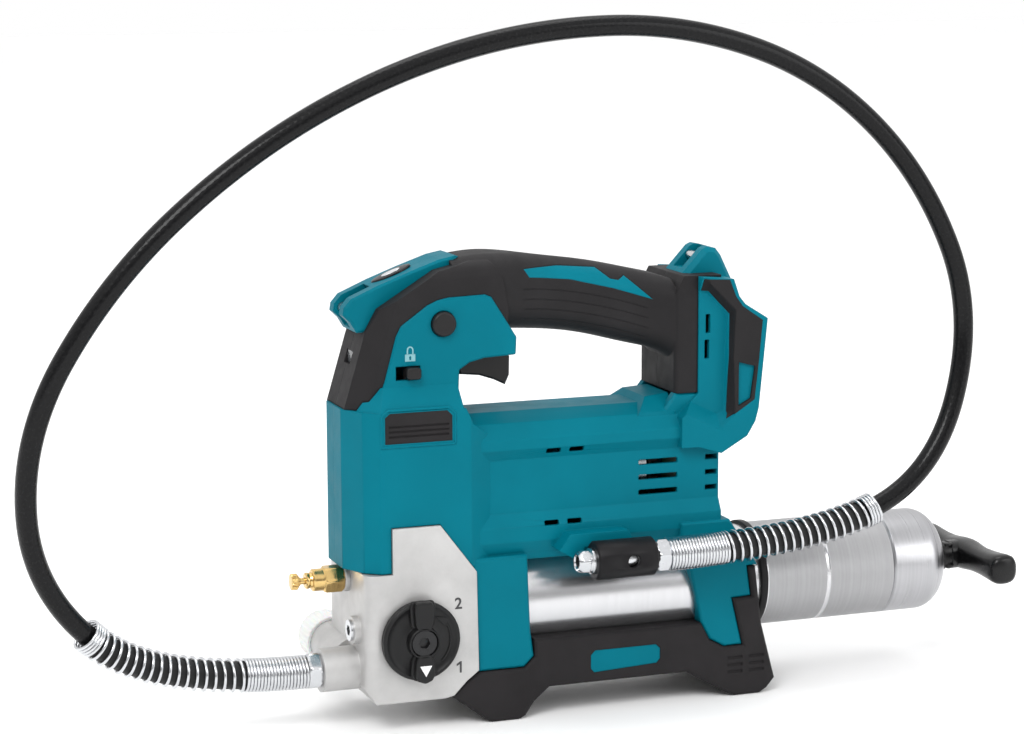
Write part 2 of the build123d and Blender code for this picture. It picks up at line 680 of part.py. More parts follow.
with BuildPart() as check_spring:
    with BuildSketch(Plane.YZ.offset(-173.9)):
        with Locations((CHECK_Y, CHECK_Z)):
            Circle(3.2)
            Circle(2.4, mode=Mode.SUBTRACT)
    extrude(amount=7.0)
save(check_spring, "check_spring")

with BuildPart() as check_ball:
    with Locations((-163.8, CHECK_Y, CHECK_Z)):
        Sphere(3.0)
save(check_ball, "check_ball")

with BuildPart() as head_bolts:
    for bolt_x in (-157.0, -139.0):
        for bolt_y in (-22.0, 22.0):
            with BuildSketch(Plane.XY.offset(96.0)):
                with Locations((bolt_x, bolt_y)):
                    Circle(2.5)
            extrude(amount=18.0)
            with BuildSketch(Plane.XY.offset(114.0)):
                with Locations((bolt_x, bolt_y)):
                    Circle(4.0)
            extrude(amount=4.0)
            with BuildSketch(Plane.XY.offset(115.5)):
                with Locations((bolt_x, bolt_y)):
                    RegularPolygon(2.2, 6)
            extrude(amount=3.0, mode=Mode.SUBTRACT)
save(head_bolts, "head_bolts")

# ---------------------------------------------------------------- pressure dial, on an axis along Y
DIAL_BACK_Y = -HEAD_HALF_W - 0.4
DIAL_FRONT_Y = -45.0

with BuildPart() as pressure_dial:
    add(y_rod(DIAL_R, -40.5, DIAL_BACK_Y, DIAL_X, DIAL_Z))
    chamfer(pressure_dial.faces().sort_by(Axis.Y)[0].edges(), 1.2)
    grip = [(DIAL_X - 4.5, DIAL_Z - 22.5), (DIAL_X + 4.5, DIAL_Z - 22.5), (DIAL_X + 5.5, DIAL_Z - 14),
            (DIAL_X + 3.8, DIAL_Z), (DIAL_X + 5.5, DIAL_Z + 14), (DIAL_X + 4.5, DIAL_Z + 20),
            (DIAL_X - 4.5, DIAL_Z + 20), (DIAL_X - 5.5, DIAL_Z + 14), (DIAL_X - 3.8, DIAL_Z),
            (DIAL_X - 5.5, DIAL_Z - 14)]
    with BuildSketch(Plane.XZ.offset(39.0)):
        with BuildLine():
            Polyline(*grip, close=True)
        make_face()
    extrude(amount=6.0)
    add(y_rod(8.6, DIAL_FRONT_Y, -40.0, DIAL_X, DIAL_Z))
    add(y_rod(7.4, DIAL_FRONT_Y - 1, -41.0, DIAL_X, DIAL_Z), mode=Mode.SUBTRACT)
    add(y_rod(2.5, -50.0, -30.0, DIAL_X, DIAL_Z), mode=Mode.SUBTRACT)
save(pressure_dial, "pressure_dial")

with BuildPart() as dial_screw:
    add(y_rod(7.3, -44.4, -41.0, DIAL_X, DIAL_Z))
    add(y_rod(2.4, -41.0, -32.0, DIAL_X, DIAL_Z))
    with BuildSketch(Plane.XZ.offset(44.4)):
        with Locations((DIAL_X, DIAL_Z)):
            RegularPolygon(3.0, 6)
    extrude(amount=-2.2, mode=Mode.SUBTRACT)
save(dial_screw, "dial_screw")

with BuildPart() as dial_spindle:
    add(y_rod(5.0, DIAL_BACK_Y, -19.0, DIAL_X, DIAL_Z))
    add(y_rod(2.4, DIAL_BACK_Y - 1, -31.5, DIAL_X, DIAL_Z), mode=Mode.SUBTRACT)
save(dial_spindle, "dial_spindle")

# ---------------------------------------------------------------- air bleed valve, on an axis along X
with BuildPart() as bleed_valve:
    with BuildSketch(Plane.YZ.offset(-179.0)):
        with Locations((0, BLEED_Z)):
            Circle(7.4)
    extrude(amount=3.0)
    with BuildSketch(Plane.YZ.offset(-189.5)):
        with Locations((0, BLEED_Z)):
            RegularPolygon(7.6, 6)
    extrude(amount=10.5)
    add(x_rod(3.0, -176.0, -170.5, z=BLEED_Z))
    add(x_rod(6.0, -196.0, -189.5, z=BLEED_Z))
    add(x_rod(4.4, -199.5, -196.0, z=BLEED_Z))
    add(x_rod(1.8 + FIT, -201.0, -168.0, z=BLEED_Z), mode=Mode.SUBTRACT)
save(bleed_valve, "bleed_valve")

with BuildPart() as bleed_stem:
    add(x_rod(1.8, -204.0, -178.0, z=BLEED_Z))
    add(x_rod(3.0, -203.6, -202.8, z=BLEED_Z))
    add(x_rod(4.4, -207.3, -203.4, z=BLEED_Z))
    chamfer(bleed_stem.faces().sort_by(Axis.X)[0].edges(), 0.6)
save(bleed_stem, "bleed_stem")

# ---------------------------------------------------------------- plunger and yoke
YOKE_HALF_H = 11.0
YOKE_WINDOW = 2 * (CRANK_THROW + CRANK_PIN_R + 0.4)

with BuildPart() as plunger:
    with BuildSketch(Plane.XY.offset(62.0)):
        with Locations((PLUNGER_X, 0)):
            Circle(PLUNGER_R)
    extrude(amount=DRIVE_Z - YOKE_HALF_H - 62.0)
    chamfer(plunger.faces().sort_by(Axis.Z)[0].edges(), 0.6)
save(plunger, "plunger")

with BuildPart() as yoke:
    with BuildSketch(Plane.YZ.offset(PLUNGER_X - 4.0)):
        with Locations((0, DRIVE_Z)):
            RectangleRounded(24.0, 2 * YOKE_HALF_H, 2.0)
            Rectangle(YOKE_WINDOW, YOKE_WINDOW, mode=Mode.SUBTRACT)
    extrude(amount=8.0)
save(yoke, "yoke")

with BuildPart() as plunger_seal:
    with BuildSketch(Plane.XY.offset(101.0)):
        with Locations((PLUNGER_X, 0)):
            Circle(6.9)
            Circle(PLUNGER_R + FIT, mode=Mode.SUBTRACT)
    extrude(amount=5.0)
save(plunger_seal, "plunger_seal")

# ---------------------------------------------------------------- gear case and crank, on the drive axis
RING_OUTER_R = 21.5
BEARING_R = 14.0
SHAFT_R = 6.0
MOTOR_SHAFT_R = 2.5

with BuildPart() as gear_case:
    add(block(-161.0, -134.5, -29.0, 29.0, 110.9, 114.0))
    add(block(-159.5, -131.0, -16.5, 16.5, 110.9, 150.0))
    add(x_rod(17.0, -134.0, -117.0, z=DRIVE_Z))
    add(x_rod(23.5, -120.0, -80.2, z=DRIVE_Z))
    room = [
        block(-155.0, -135.2, -13.5, 13.5, 108.0, 146.0),
        x_rod(SHAFT_R + 0.4, -136.0, -116.0, z=DRIVE_Z),
        x_rod(BEARING_R, -130.0, -121.0, z=DRIVE_Z),
        x_rod(RING_OUTER_R, -116.5, -79.0, z=DRIVE_Z),
        block(-135.3, -130.9, -20, 20, 100, 110.8),
    ]
    add(room, mode=Mode.SUBTRACT)
    with BuildSketch(Plane.XY.offset(110.0)):
        with Locations(*[(x, y) for x in (-157.0, -139.0) for y in (-22.0, 22.0)]):
            Circle(2.5)
    extrude(amount=5.0, mode=Mode.SUBTRACT)
save(gear_case, "gear_case")

with BuildPart() as crank_bearing:
    add(x_rod(BEARING_R, -130.0, -121.2, z=DRIVE_Z))
    add(x_rod(SHAFT_R + FIT, -131.0, -120.0, z=DRIVE_Z), mode=Mode.SUBTRACT)
save(crank_bearing, "crank_bearing")

with BuildPart() as crank:
    add(x_rod(SHAFT_R, -137.0, -100.7, z=DRIVE_Z))
    add(x_rod(10.5, -141.5, -136.0, z=DRIVE_Z))
    add(x_rod(CRANK_PIN_R, -153.0, -141.5, y=-CRANK_THROW, z=DRIVE_Z))
    chamfer(crank.faces().sort_by(Axis.X)[0].edges(), 0.5)
save(crank, "crank")


def gear_outline(teeth, pitch_r, first_angle, inward=False):
    """The corner points of straight-flanked teeth about the origin. inward is for a ring gear."""
    pitch = 2 * math.pi / teeth
    way = -1 if inward else 1
    tip = pitch_r + way * 0.7 * MODULE
    root = pitch_r - way * 0.95 * MODULE
    points = []
    for tooth in range(teeth):
        centre = first_angle + tooth * pitch
        for radius, spread in ((root, -0.27), (tip, -0.12), (tip, 0.12), (root, 0.27)):
            angle = centre + spread * pitch
            points.append((radius * math.cos(angle), radius * math.sin(angle)))
    return points


SUN_R = MODULE * SUN_TEETH / 2
PLANET_R = MODULE * PLANET_TEETH / 2
RING_R = MODULE * RING_TEETH / 2
PLANET_ORBIT = SUN_R + PLANET_R
PLANET_PIN_R = 1.5
PLANET_ANGLES = [math.pi / 2 + 2 * math.pi * k / PLANET_COUNT for k in range(PLANET_COUNT)]


def planet_phase(angle):
    """A planet's first tooth angle that meshes with a sun whose first tooth is at 0."""
    return angle + math.pi - math.pi / PLANET_TEETH + SUN_TEETH * angle / PLANET_TEETH


def planet_centre(angle):
    return (PLANET_ORBIT * math.cos(angle), DRIVE_Z + PLANET_ORBIT * math.sin(angle))


first = PLANET_ANGLES[0]
RING_PHASE = first - math.pi / RING_TEETH + PLANET_TEETH * (planet_phase(first) - first) / RING_TEETH

with BuildPart() as ring_gear:
    with BuildSketch(Plane.YZ.offset(-99.5)):
        with Locations((0, DRIVE_Z)):
            Circle(RING_OUTER_R)
        with BuildLine(mode=Mode.PRIVATE) as inner_teeth:
            Polyline(*gear_outline(RING_TEETH, RING_R, RING_PHASE, inward=True), close=True)
        with Locations((0, DRIVE_Z)):
            add(make_face(inner_teeth.edges(), mode=Mode.PRIVATE), mode=Mode.SUBTRACT)
    extrude(amount=13.0)
save(ring_gear, "ring_gear")

with BuildPart() as sun_gear:
    with BuildSketch(Plane.YZ.offset(-98.8)):
        with BuildLine(mode=Mode.PRIVATE) as sun_teeth:
            Polyline(*gear_outline(SUN_TEETH, SUN_R, 0.0), close=True)
        with Locations((0, DRIVE_Z)):
            add(make_face(sun_teeth.edges(), mode=Mode.PRIVATE))
            Circle(MOTOR_SHAFT_R, mode=Mode.SUBTRACT)
    extrude(amount=12.0)
save(sun_gear, "sun_gear")

for number, angle in enumerate(PLANET_ANGLES, start=1):
    with BuildPart() as planet_gear:
        with BuildSketch(Plane.YZ.offset(-98.5)):
            with BuildLine(mode=Mode.PRIVATE) as planet_teeth:
                Polyline(*gear_outline(PLANET_TEETH, PLANET_R, planet_phase(angle)), close=True)
            with Locations(planet_centre(angle)):
                add(make_face(planet_teeth.edges(), mode=Mode.PRIVATE))
                Circle(PLANET_PIN_R + FIT, mode=Mode.SUBTRACT)
        extrude(amount=10.0)
    save(planet_gear, f"planet_gear_{number}")

with BuildPart() as planet_carrier:
    add(x_rod(16.5, -104.0, -100.7, z=DRIVE_Z))
    add(x_rod(SHAFT_R, -105.0, -100.0, z=DRIVE_Z), mode=Mode.SUBTRACT)
    for angle in PLANET_ANGLES:
        pin_y, pin_z = planet_centre(angle)
        add(x_rod(PLANET_PIN_R, -105.0, -100.0, pin_y, pin_z), mode=Mode.SUBTRACT)
save(planet_carrier, "planet_carrier")

with BuildPart() as planet_pins:
    for angle in PLANET_ANGLES:
        pin_y, pin_z = planet_centre(angle)
        add(x_rod(PLANET_PIN_R, -104.0, -87.5, pin_y, pin_z))
save(planet_pins, "planet_pins")

# ---------------------------------------------------------------- motor
with BuildPart() as motor_can:
    add(x_rod(22.0, -80.0, -12.0, z=DRIVE_Z))
    add(x_rod(19.5, -77.0, -15.0, z=DRIVE_Z), mode=Mode.SUBTRACT)
    add(x_rod(7.0, -81.0, -11.0, z=DRIVE_Z), mode=Mode.SUBTRACT)
    with Locations(Plane(origin=(-22.0, 0, DRIVE_Z), x_dir=(0, 1, 0), z_dir=(1, 0, 0))):
        with PolarLocations(19.0, 6):
            Box(9.0, 7.0, 8.0, mode=Mode.SUBTRACT)
save(motor_can, "motor_can")

with BuildPart() as motor_armature:
    add(x_rod(MOTOR_SHAFT_R, -98.8, -2.5, z=DRIVE_Z))
    add(x_rod(15.0, -72.0, -30.0, z=DRIVE_Z))
    with Locations(Plane(origin=(-51.0, 0, DRIVE_Z), x_dir=(0, 1, 0), z_dir=(1, 0, 0))):
        with PolarLocations(14.0, 12):
            Box(5.0, 2.0, 43.0, mode=Mode.SUBTRACT)
    add(x_rod(8.0, -27.0, -18.0, z=DRIVE_Z))
save(motor_armature, "motor_armature")

with BuildPart() as motor_bearings:
    for bearing_x in (-82.0, -15.0):
        add(x_rod(7.0, bearing_x, bearing_x + 5.0, z=DRIVE_Z))
        add(x_rod(MOTOR_SHAFT_R + FIT, bearing_x - 1, bearing_x + 6.0, z=DRIVE_Z), mode=Mode.SUBTRACT)
save(motor_bearings, "motor_bearings")

with BuildPart() as motor_fan:
    add(x_rod(18.5, -9.4, -8.0, z=DRIVE_Z))
    add(x_rod(5.0, -9.4, -3.0, z=DRIVE_Z))
    with Locations(Plane(origin=(-5.6, 0, DRIVE_Z), x_dir=(0, 1, 0), z_dir=(1, 0, 0))):
        with PolarLocations(11.0, 11):
            Box(13.6, 1.2, 5.0)
    add(x_rod(MOTOR_SHAFT_R, -10.0, -2.0, z=DRIVE_Z), mode=Mode.SUBTRACT)
save(motor_fan, "motor_fan")

# ---------------------------------------------------------------- trigger and locks
TRIGGER_PIVOT = (-118.0, 200.0)
TRIGGER_STUD_R = 2.0
TRIGGER_OUTLINE = [
    (-121.5, 203.5), (-121.5, 196.5), (-116.0, 194.0), (-114.3, 185.4), (-103.0, 184.2),
    (-95.0, 181.5), (-88.4, 178.3), (-86.0, 183.5), (-85.8, 193.5), (-92.5, 203.0),
]

with BuildPart() as trigger:
    add(slab(TRIGGER_OUTLINE, 7.6, edge=1.0))
    add(y_rod(TRIGGER_STUD_R, -10.5, 10.5, *TRIGGER_PIVOT))
save(trigger, "trigger")

with BuildPart() as trigger_spring:
    with BuildSketch(Plane.XY.offset(203.6)):
        with Locations((-105.0, 0)):
            Circle(3.2)
            Circle(2.4, mode=Mode.SUBTRACT)
    extrude(amount=4.3)
save(trigger_spring, "trigger_spring")

with BuildPart() as switch_body:
    add(block(-112.0, -97.0, -9.0, 9.0, 208.0, 219.5))
    fillet(switch_body.edges().filter_by(Axis.Z), 1.0)
save(switch_body, "switch_body")

LOCK_BUTTON = (-129.5, 216.0)
with BuildPart() as lock_button:
    add(y_rod(6.6, -29.0, -20.5, *LOCK_BUTTON))
    fillet(lock_button.faces().sort_by(Axis.Y)[0].edges(), 1.6)
    add(y_rod(3.0, -20.5, -10.0, *LOCK_BUTTON))
save(lock_button, "lock_button")

with BuildPart() as lock_slider:
    with BuildSketch(Plane.XZ.offset(23.0)):
        with Locations((-146.8, 191.0)):
            RectangleRounded(8.0, 6.4, 1.8)
    extrude(amount=7.0)
    fillet(lock_slider.faces().sort_by(Axis.Y)[0].edges(), 1.2)
    add(block(-150.4, -141.2, -22.8, -21.0, 186.0, 196.0))
    add(block(-150.0, -144.0, -23.1, -22.7, 188.5, 193.5))
save(lock_slider, "lock_slider")

# ---------------------------------------------------------------- grease barrel, on its axis along X
KNURL_X0 = 80.0

with BuildPart() as barrel_tube:
    with BuildSketch(Plane.XZ):
        with BuildLine():
            Polyline((TUBE_FRONT_X, BARREL_Z + TUBE_BORE_R), (TUBE_FRONT_X, BARREL_Z + TUBE_R),
                     (KNURL_X0, BARREL_Z + TUBE_R), (KNURL_X0, BARREL_Z + KNURL_R),
                     (116.0, BARREL_Z + KNURL_R), (116.6, BARREL_Z + KNURL_R - 0.6),
                     (118.4, BARREL_Z + KNURL_R - 0.6), (119.0, BARREL_Z + KNURL_R),
                     (TUBE_REAR_X - 0.6, BARREL_Z + KNURL_R), (TUBE_REAR_X, BARREL_Z + KNURL_R - 0.6),
                     (TUBE_REAR_X, BARREL_Z + TUBE_BORE_R), close=True)
        make_face()
    revolve(axis=Axis((0, 0, BARREL_Z), (1, 0, 0)))
save(barrel_tube, "barrel_tube")

with BuildPart() as barrel_collar:
    add(x_rod(COLLAR_R, COLLAR_X0, COLLAR_X1, z=BARREL_Z))
    chamfer(barrel_collar.faces().sort_by(Axis.X)[-1].edges(), 1.2)
    add(x_rod(TUBE_R + FIT, COLLAR_X0 - 1, COLLAR_X1 + 1, z=BARREL_Z), mode=Mode.SUBTRACT)
save(barrel_collar, "barrel_collar")

ROD_R = 4.0
with BuildPart() as barrel_cap:
    with BuildSketch(Plane.XZ):
        with BuildLine():
            Polyline((CAP_END_X, BARREL_Z + ROD_R + FIT), (CAP_END_X, BARREL_Z + 10),
                     (175.5, BARREL_Z + 12.5))
            ThreePointArc((175.5, BARREL_Z + 12.5), (172.0, BARREL_Z + 23.5), (163.0, BARREL_Z + KNURL_R))
            Polyline((163.0, BARREL_Z + KNURL_R), (TUBE_REAR_X + 0.6, BARREL_Z + KNURL_R),
                     (TUBE_REAR_X, BARREL_Z + KNURL_R - 0.6), (TUBE_REAR_X, BARREL_Z + TUBE_BORE_R),
                     (163.0, BARREL_Z + TUBE_BORE_R), (170.0, BARREL_Z + 20.0),
                     (170.0, BARREL_Z + ROD_R + FIT), (CAP_END_X, BARREL_Z + ROD_R + FIT))
        make_face()
    revolve(axis=Axis((0, 0, BARREL_Z), (1, 0, 0)))
save(barrel_cap, "barrel_cap")

PISTON_X0 = -100.0
with BuildPart() as follower_piston:
    add(x_rod(TUBE_BORE_R - 0.08, PISTON_X0, -84.0, z=BARREL_Z))
    add(x_rod(24.0, -96.0, -83.0, z=BARREL_Z), mode=Mode.SUBTRACT)
    add(x_rod(9.0, -96.0, -80.0, z=BARREL_Z))
    add(x_rod(ROD_R + FIT, -96.0, -79.0, z=BARREL_Z), mode=Mode.SUBTRACT)
    fillet(follower_piston.faces().sort_by(Axis.X)[0].edges(), 2.0)
save(follower_piston, "follower_piston")

with BuildPart() as follower_rod:
    add(x_rod(ROD_R, -95.5, 186.0, z=BARREL_Z))
    add(x_rod(6.5, -79.6, -76.6, z=BARREL_Z))
save(follower_rod, "follower_rod")

with BuildPart() as follower_spring:
    with BuildSketch(Plane.YZ.offset(-95.9)):
        with Locations((0, BARREL_Z)):
            Circle(18.0)
            Circle(16.0, mode=Mode.SUBTRACT)
    extrude(amount=265.8)
save(follower_spring, "follower_spring")

HANDLE_BAR_X = 198.2
with BuildPart() as t_handle:
    add(x_rod(8.0, 179.5, HANDLE_BAR_X, z=BARREL_Z))
    for bar_side in (-1, 1):
        for y0, y1, r0, r1 in ((0, 14, 8.5, 7.2), (14, 47.5, 7.2, 8.6)):
            with BuildSketch(Plane.XZ.offset(-bar_side * y0)):
                with Locations((HANDLE_BAR_X, BARREL_Z)):
                    Circle(r0)
            with BuildSketch(Plane.XZ.offset(-bar_side * y1)):
                with Locations((HANDLE_BAR_X, BARREL_Z)):
                    Circle(r1)
            loft()
    ends = [t_handle.faces().sort_by(Axis.Y)[0], t_handle.faces().sort_by(Axis.Y)[-1]]
    fillet([edge for end in ends for edge in end.edges()], 4.0)
    add(x_rod(ROD_R, 179.0, 186.0, z=BARREL_Z), mode=Mode.SUBTRACT)
save(t_handle, "t_handle")

# ---------------------------------------------------------------- coupler and its holder
COUPLER_REAR_X = -12.0
NIPPLE_R = 3.3

with BuildPart() as hose_holder:
    add(x_rod(HOLDER_R, -54.6, -20.3, HOLDER_Y, HOLDER_Z))
    chamfer(hose_holder.edges().filter_by(GeomType.CIRCLE), 1.0)
    add(x_rod(7.1, -56.0, -19.0, HOLDER_Y, HOLDER_Z), mode=Mode.SUBTRACT)
    add(y_rod(3.6, -62.0, HOLDER_Y, -34.8, HOLDER_Z), mode=Mode.SUBTRACT)
save(hose_holder, "hose_holder")

with BuildPart() as coupler:
    add(x_rod(7.0, -57.0, -20.0, HOLDER_Y, HOLDER_Z))
    add(x_rod(6.6, -64.0, -57.0, HOLDER_Y, HOLDER_Z))
    chamfer(coupler.faces().sort_by(Axis.X)[0].edges(), 1.2)
    with BuildSketch(Plane.YZ.offset(-20.0)):
        with Locations((HOLDER_Y, HOLDER_Z)):
            RegularPolygon(9.6, 6)
    extrude(amount=COUPLER_REAR_X + 20.0)
    add(x_rod(NIPPLE_R, -65.0, -56.5, HOLDER_Y, HOLDER_Z), mode=Mode.SUBTRACT)
save(coupler, "coupler")

# ---------------------------------------------------------------- hose
HOSE_START_X = -203.0
HOSE_POINTS = [
    (HOSE_START_X, OUTLET_Y, OUTLET_Z), (-286, -12, 32), (-349, -27, 92), (-357, -57, 177),
    (-314, -68, 252), (-249, -68, 309), (-173, -65, 349), (-90, -57, 370), (-4, -51, 371),
    (78, -46, 344), (142, -42, 287), (181, -35, 207), (152, -47, 118), (71, -50, 88),
    (COUPLER_REAR_X, HOLDER_Y, HOLDER_Z),
]
GUARD_SHARE = 0.62         # how far along the second run a spring guard reaches

with BuildPart() as hose_nut:
    with BuildSketch(Plane.YZ.offset(HOSE_START_X)):
        with Locations((OUTLET_Y, OUTLET_Z)):
            RegularPolygon(10.4, 6)
    extrude(amount=-195.5 - HOSE_START_X)
    add(x_rod(3.0, -196.0, -180.0, OUTLET_Y, OUTLET_Z))
save(hose_nut, "hose_nut")


def bend_radii(points):
    """The largest arc that each corner of a route has room for."""
    vectors = [Vector(*point) for point in points]
    radii = []
    for before, here, after in zip(vectors, vectors[1:], vectors[2:]):
        turn = math.radians((here - before).get_angle(after - here))
        shorter = min((here - before).length, (after - here).length)
        radii.append(0.45 * shorter / math.tan(turn / 2))
    return radii


def tube_along(points, radii, outer_r, inner_r=0.0):
    """A round tube or bar along straight runs joined by tangent arcs."""
    with BuildPart() as tube:
        with BuildLine() as route:
            FilletPolyline(*points, radius=radii)
        start = Plane(origin=points[0], z_dir=Vector(*points[1]) - Vector(*points[0]))
        with BuildSketch(start):
            Circle(outer_r)
            if inner_r:
                Circle(inner_r, mode=Mode.SUBTRACT)
        sweep()
    return tube.part, sum(edge.length for edge in route.edges())


hose_radii = bend_radii(HOSE_POINTS)
print("hose bend radii, mm:", [round(radius) for radius in hose_radii])

hose_part, hose_length = tube_along(HOSE_POINTS, hose_radii, HOSE_R)
with BuildPart() as hose:
    add(hose_part)
print("hose length, mm:", round(hose_length), "volume over section x length:",
      round(hose.part.volume / (math.pi * HOSE_R**2 * hose_length), 4))
save(hose, "hose")


def guard_points(points):
    """The first run, its corner and part of the second run, where a spring guard lies."""
    start, corner, after = (Vector(*point) for point in points[:3])
    return [start, corner, corner + (after - corner) * GUARD_SHARE]


with BuildPart() as outlet_guard:
    add(tube_along(guard_points(HOSE_POINTS), hose_radii[:1], GUARD_R, GUARD_BORE_R)[0])
save(outlet_guard, "outlet_guard")

with BuildPart() as coupler_guard:
    add(tube_along(guard_points(HOSE_POINTS[::-1]), hose_radii[-1:], GUARD_R, GUARD_BORE_R)[0])
save(coupler_guard, "coupler_guard")
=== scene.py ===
import json
import math

import bmesh
import bpy
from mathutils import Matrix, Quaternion, Vector


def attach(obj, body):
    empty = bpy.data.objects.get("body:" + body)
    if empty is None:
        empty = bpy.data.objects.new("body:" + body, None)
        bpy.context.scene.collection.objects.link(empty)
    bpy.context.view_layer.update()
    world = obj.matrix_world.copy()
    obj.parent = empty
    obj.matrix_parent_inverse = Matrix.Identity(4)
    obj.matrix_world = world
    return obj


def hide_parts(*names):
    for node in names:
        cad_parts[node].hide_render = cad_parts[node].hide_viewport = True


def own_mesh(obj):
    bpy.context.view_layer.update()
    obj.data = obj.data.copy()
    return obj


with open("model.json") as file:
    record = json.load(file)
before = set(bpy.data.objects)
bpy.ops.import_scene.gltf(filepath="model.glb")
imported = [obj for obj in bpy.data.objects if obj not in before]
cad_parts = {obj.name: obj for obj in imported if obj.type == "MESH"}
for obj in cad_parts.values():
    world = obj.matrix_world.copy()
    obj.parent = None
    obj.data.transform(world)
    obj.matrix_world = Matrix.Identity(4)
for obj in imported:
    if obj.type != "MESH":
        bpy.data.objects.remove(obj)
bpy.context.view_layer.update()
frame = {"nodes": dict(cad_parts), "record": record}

NODES = frame["nodes"]
ROOT = "gun"

# ---------------------------------------------------------------- shared places, in millimetres
MM = 0.001
BARREL_Z = 60.0
BARREL_AXIS = (0.0, BARREL_Z)
BARREL_R = 29.0             # over the knurl and the cap
TUBE_R = 28.5
TUBE_BORE_R = 26.5
COLLAR_X0, COLLAR_X1 = 54.0, 58.5
KNURL_X0 = 58.8
GROOVE_X0, GROOVE_X1 = 95.0, 97.5
CAP_X0 = 138.0
HANDLE_X = 198.2
OUTLET_AXIS = (-12.0, 32.0)
COUPLER_AXIS = (-50.0, 88.0)
BLEED_AXIS = (0.0, 78.2)
FILLER_AXIS = (-173.0, 32.0)
CHECK_AXIS = (-18.0, 53.9)
DIAL_AXIS = (-147.2, 50.2)
DIAL_X, DIAL_Z = DIAL_AXIS
HEAD_SIDE_Y = -35.5         # the pump head's left face
PANEL_SIDE_Y = -26.0        # the housing's left face round the lock button
PAD_RIM_Y = 33.9

# ---------------------------------------------------------------- camera
camera = bpy.data.objects.new("camera", bpy.data.cameras.new("camera"))
bpy.context.scene.collection.objects.link(camera)
bpy.context.scene.camera = camera
CAMERA_FORWARD = Vector((0.340, 0.926, -0.163))
CAMERA_ROLL = math.radians(-0.17)
camera.location = (-0.5759, -1.3457, 0.4232)
camera.rotation_mode = "QUATERNION"
camera.rotation_quaternion = CAMERA_FORWARD.to_track_quat("-Z", "Y") @ Quaternion((0, 0, 1), CAMERA_ROLL)
camera.data.sensor_width = 36.0
camera.data.lens = 94.7
camera.data.clip_start = 0.01
camera.data.clip_end = 100.0


# ---------------------------------------------------------------- materials
class Shader:
    """A material's node tree, with short calls for the nodes that these finishes use."""

    def __init__(self, name, colour, roughness, metallic=0.0, **inputs):
        self.material = bpy.data.materials.new(name)
        self.material.use_nodes = True
        self.nodes = self.material.node_tree.nodes
        self.links = self.material.node_tree.links
        self.surface = self.nodes["Principled BSDF"]
        self.surface.inputs["Base Color"].default_value = (*colour, 1.0)
        self.surface.inputs["Roughness"].default_value = roughness
        self.surface.inputs["Metallic"].default_value = metallic
        for socket, value in inputs.items():
            self.surface.inputs[socket.replace("_", " ")].default_value = value
        self.place = self.nodes.new("ShaderNodeTexCoord").outputs["Object"]
        self.normal = None

    def soft_edges(self, radius):
        """Edges catch the light as if rounded to that radius in metres."""
        node = self.nodes.new("ShaderNodeBevel")
        node.samples = 6
        node.inputs["Radius"].default_value = radius
        self.normal = node.outputs["Normal"]
        self.links.new(self.normal, self.surface.inputs["Normal"])

    def axes(self):
        """The object's X, Y and Z in metres."""
        parts = self.nodes.new("ShaderNodeSeparateXYZ")
        self.links.new(self.place, parts.inputs["Vector"])
        return parts.outputs["X"], parts.outputs["Y"], parts.outputs["Z"]

    def between(self, value, low, high, soft=0.0003):
        """1 inside the range and 0 outside it."""
        rising = self.ramp(value, 0.0, 1.0, low, low + soft)
        falling = self.ramp(value, 1.0, 0.0, high - soft, high)
        return self.math("MULTIPLY", rising, falling)

    def scaled(self, scale):
        """The place on the object, stretched by that much along each axis."""
        mapping = self.nodes.new("ShaderNodeMapping")
        mapping.inputs["Scale"].default_value = scale
        self.links.new(self.place, mapping.inputs["Vector"])
        return mapping.outputs["Vector"]

    def noise(self, scale, detail=2.0, roughness=0.5, place=None):
        """Cloudy noise between 0 and 1."""
        node = self.nodes.new("ShaderNodeTexNoise")
        node.inputs["Scale"].default_value = scale
        node.inputs["Detail"].default_value = detail
        node.inputs["Roughness"].default_value = roughness
        self.links.new(place or self.place, node.inputs["Vector"])
        return node.outputs["Fac"]

    def cells(self, scale):
        """Rounded cells: the distance to the nearest of many scattered points."""
        node = self.nodes.new("ShaderNodeTexVoronoi")
        node.inputs["Scale"].default_value = scale
        self.links.new(self.place, node.inputs["Vector"])
        return node.outputs["Distance"]

    def ramp(self, value, low, high, start=0.3, end=0.7):
        """Runs from low to high while value runs from start to end."""
        node = self.nodes.new("ShaderNodeMapRange")
        node.inputs["From Min"].default_value = start
        node.inputs["From Max"].default_value = end
        node.inputs["To Min"].default_value = low
        node.inputs["To Max"].default_value = high
        self.links.new(value, node.inputs["Value"])
        return node.outputs["Result"]

    def math(self, operation, first, second):
        """One operation on two values, each a number or a socket. WRAP wraps first into -second to second."""
        node = self.nodes.new("ShaderNodeMath")
        node.operation = operation
        if operation == "WRAP":
            node.inputs[2].default_value = -second
        for socket, value in zip(node.inputs, (first, second)):
            if isinstance(value, (int, float)):
                socket.default_value = value
            else:
                self.links.new(value, socket)
        return node.outputs["Value"]

    def tint(self, factor, light, dark):
        """The base colour runs from dark to light with factor."""
        node = self.nodes.new("ShaderNodeMix")
        node.data_type = "RGBA"
        node.inputs["A"].default_value = (*dark, 1.0)
        node.inputs["B"].default_value = (*light, 1.0)
        self.links.new(factor, node.inputs["Factor"])
        self.links.new(node.outputs["Result"], self.surface.inputs["Base Color"])

    def rough(self, value):
        self.links.new(value, self.surface.inputs["Roughness"])

    def bump(self, height, depth, strength=1.0):
        """Adds a bump of that depth in metres, on top of those before it."""
        node = self.nodes.new("ShaderNodeBump")
        node.inputs["Strength"].default_value = strength
        node.inputs["Distance"].default_value = depth
        self.links.new(height, node.inputs["Height"])
        if self.normal:
            self.links.new(self.normal, node.inputs["Normal"])
        self.normal = node.outputs["Normal"]
        self.links.new(self.normal, self.surface.inputs["Normal"])


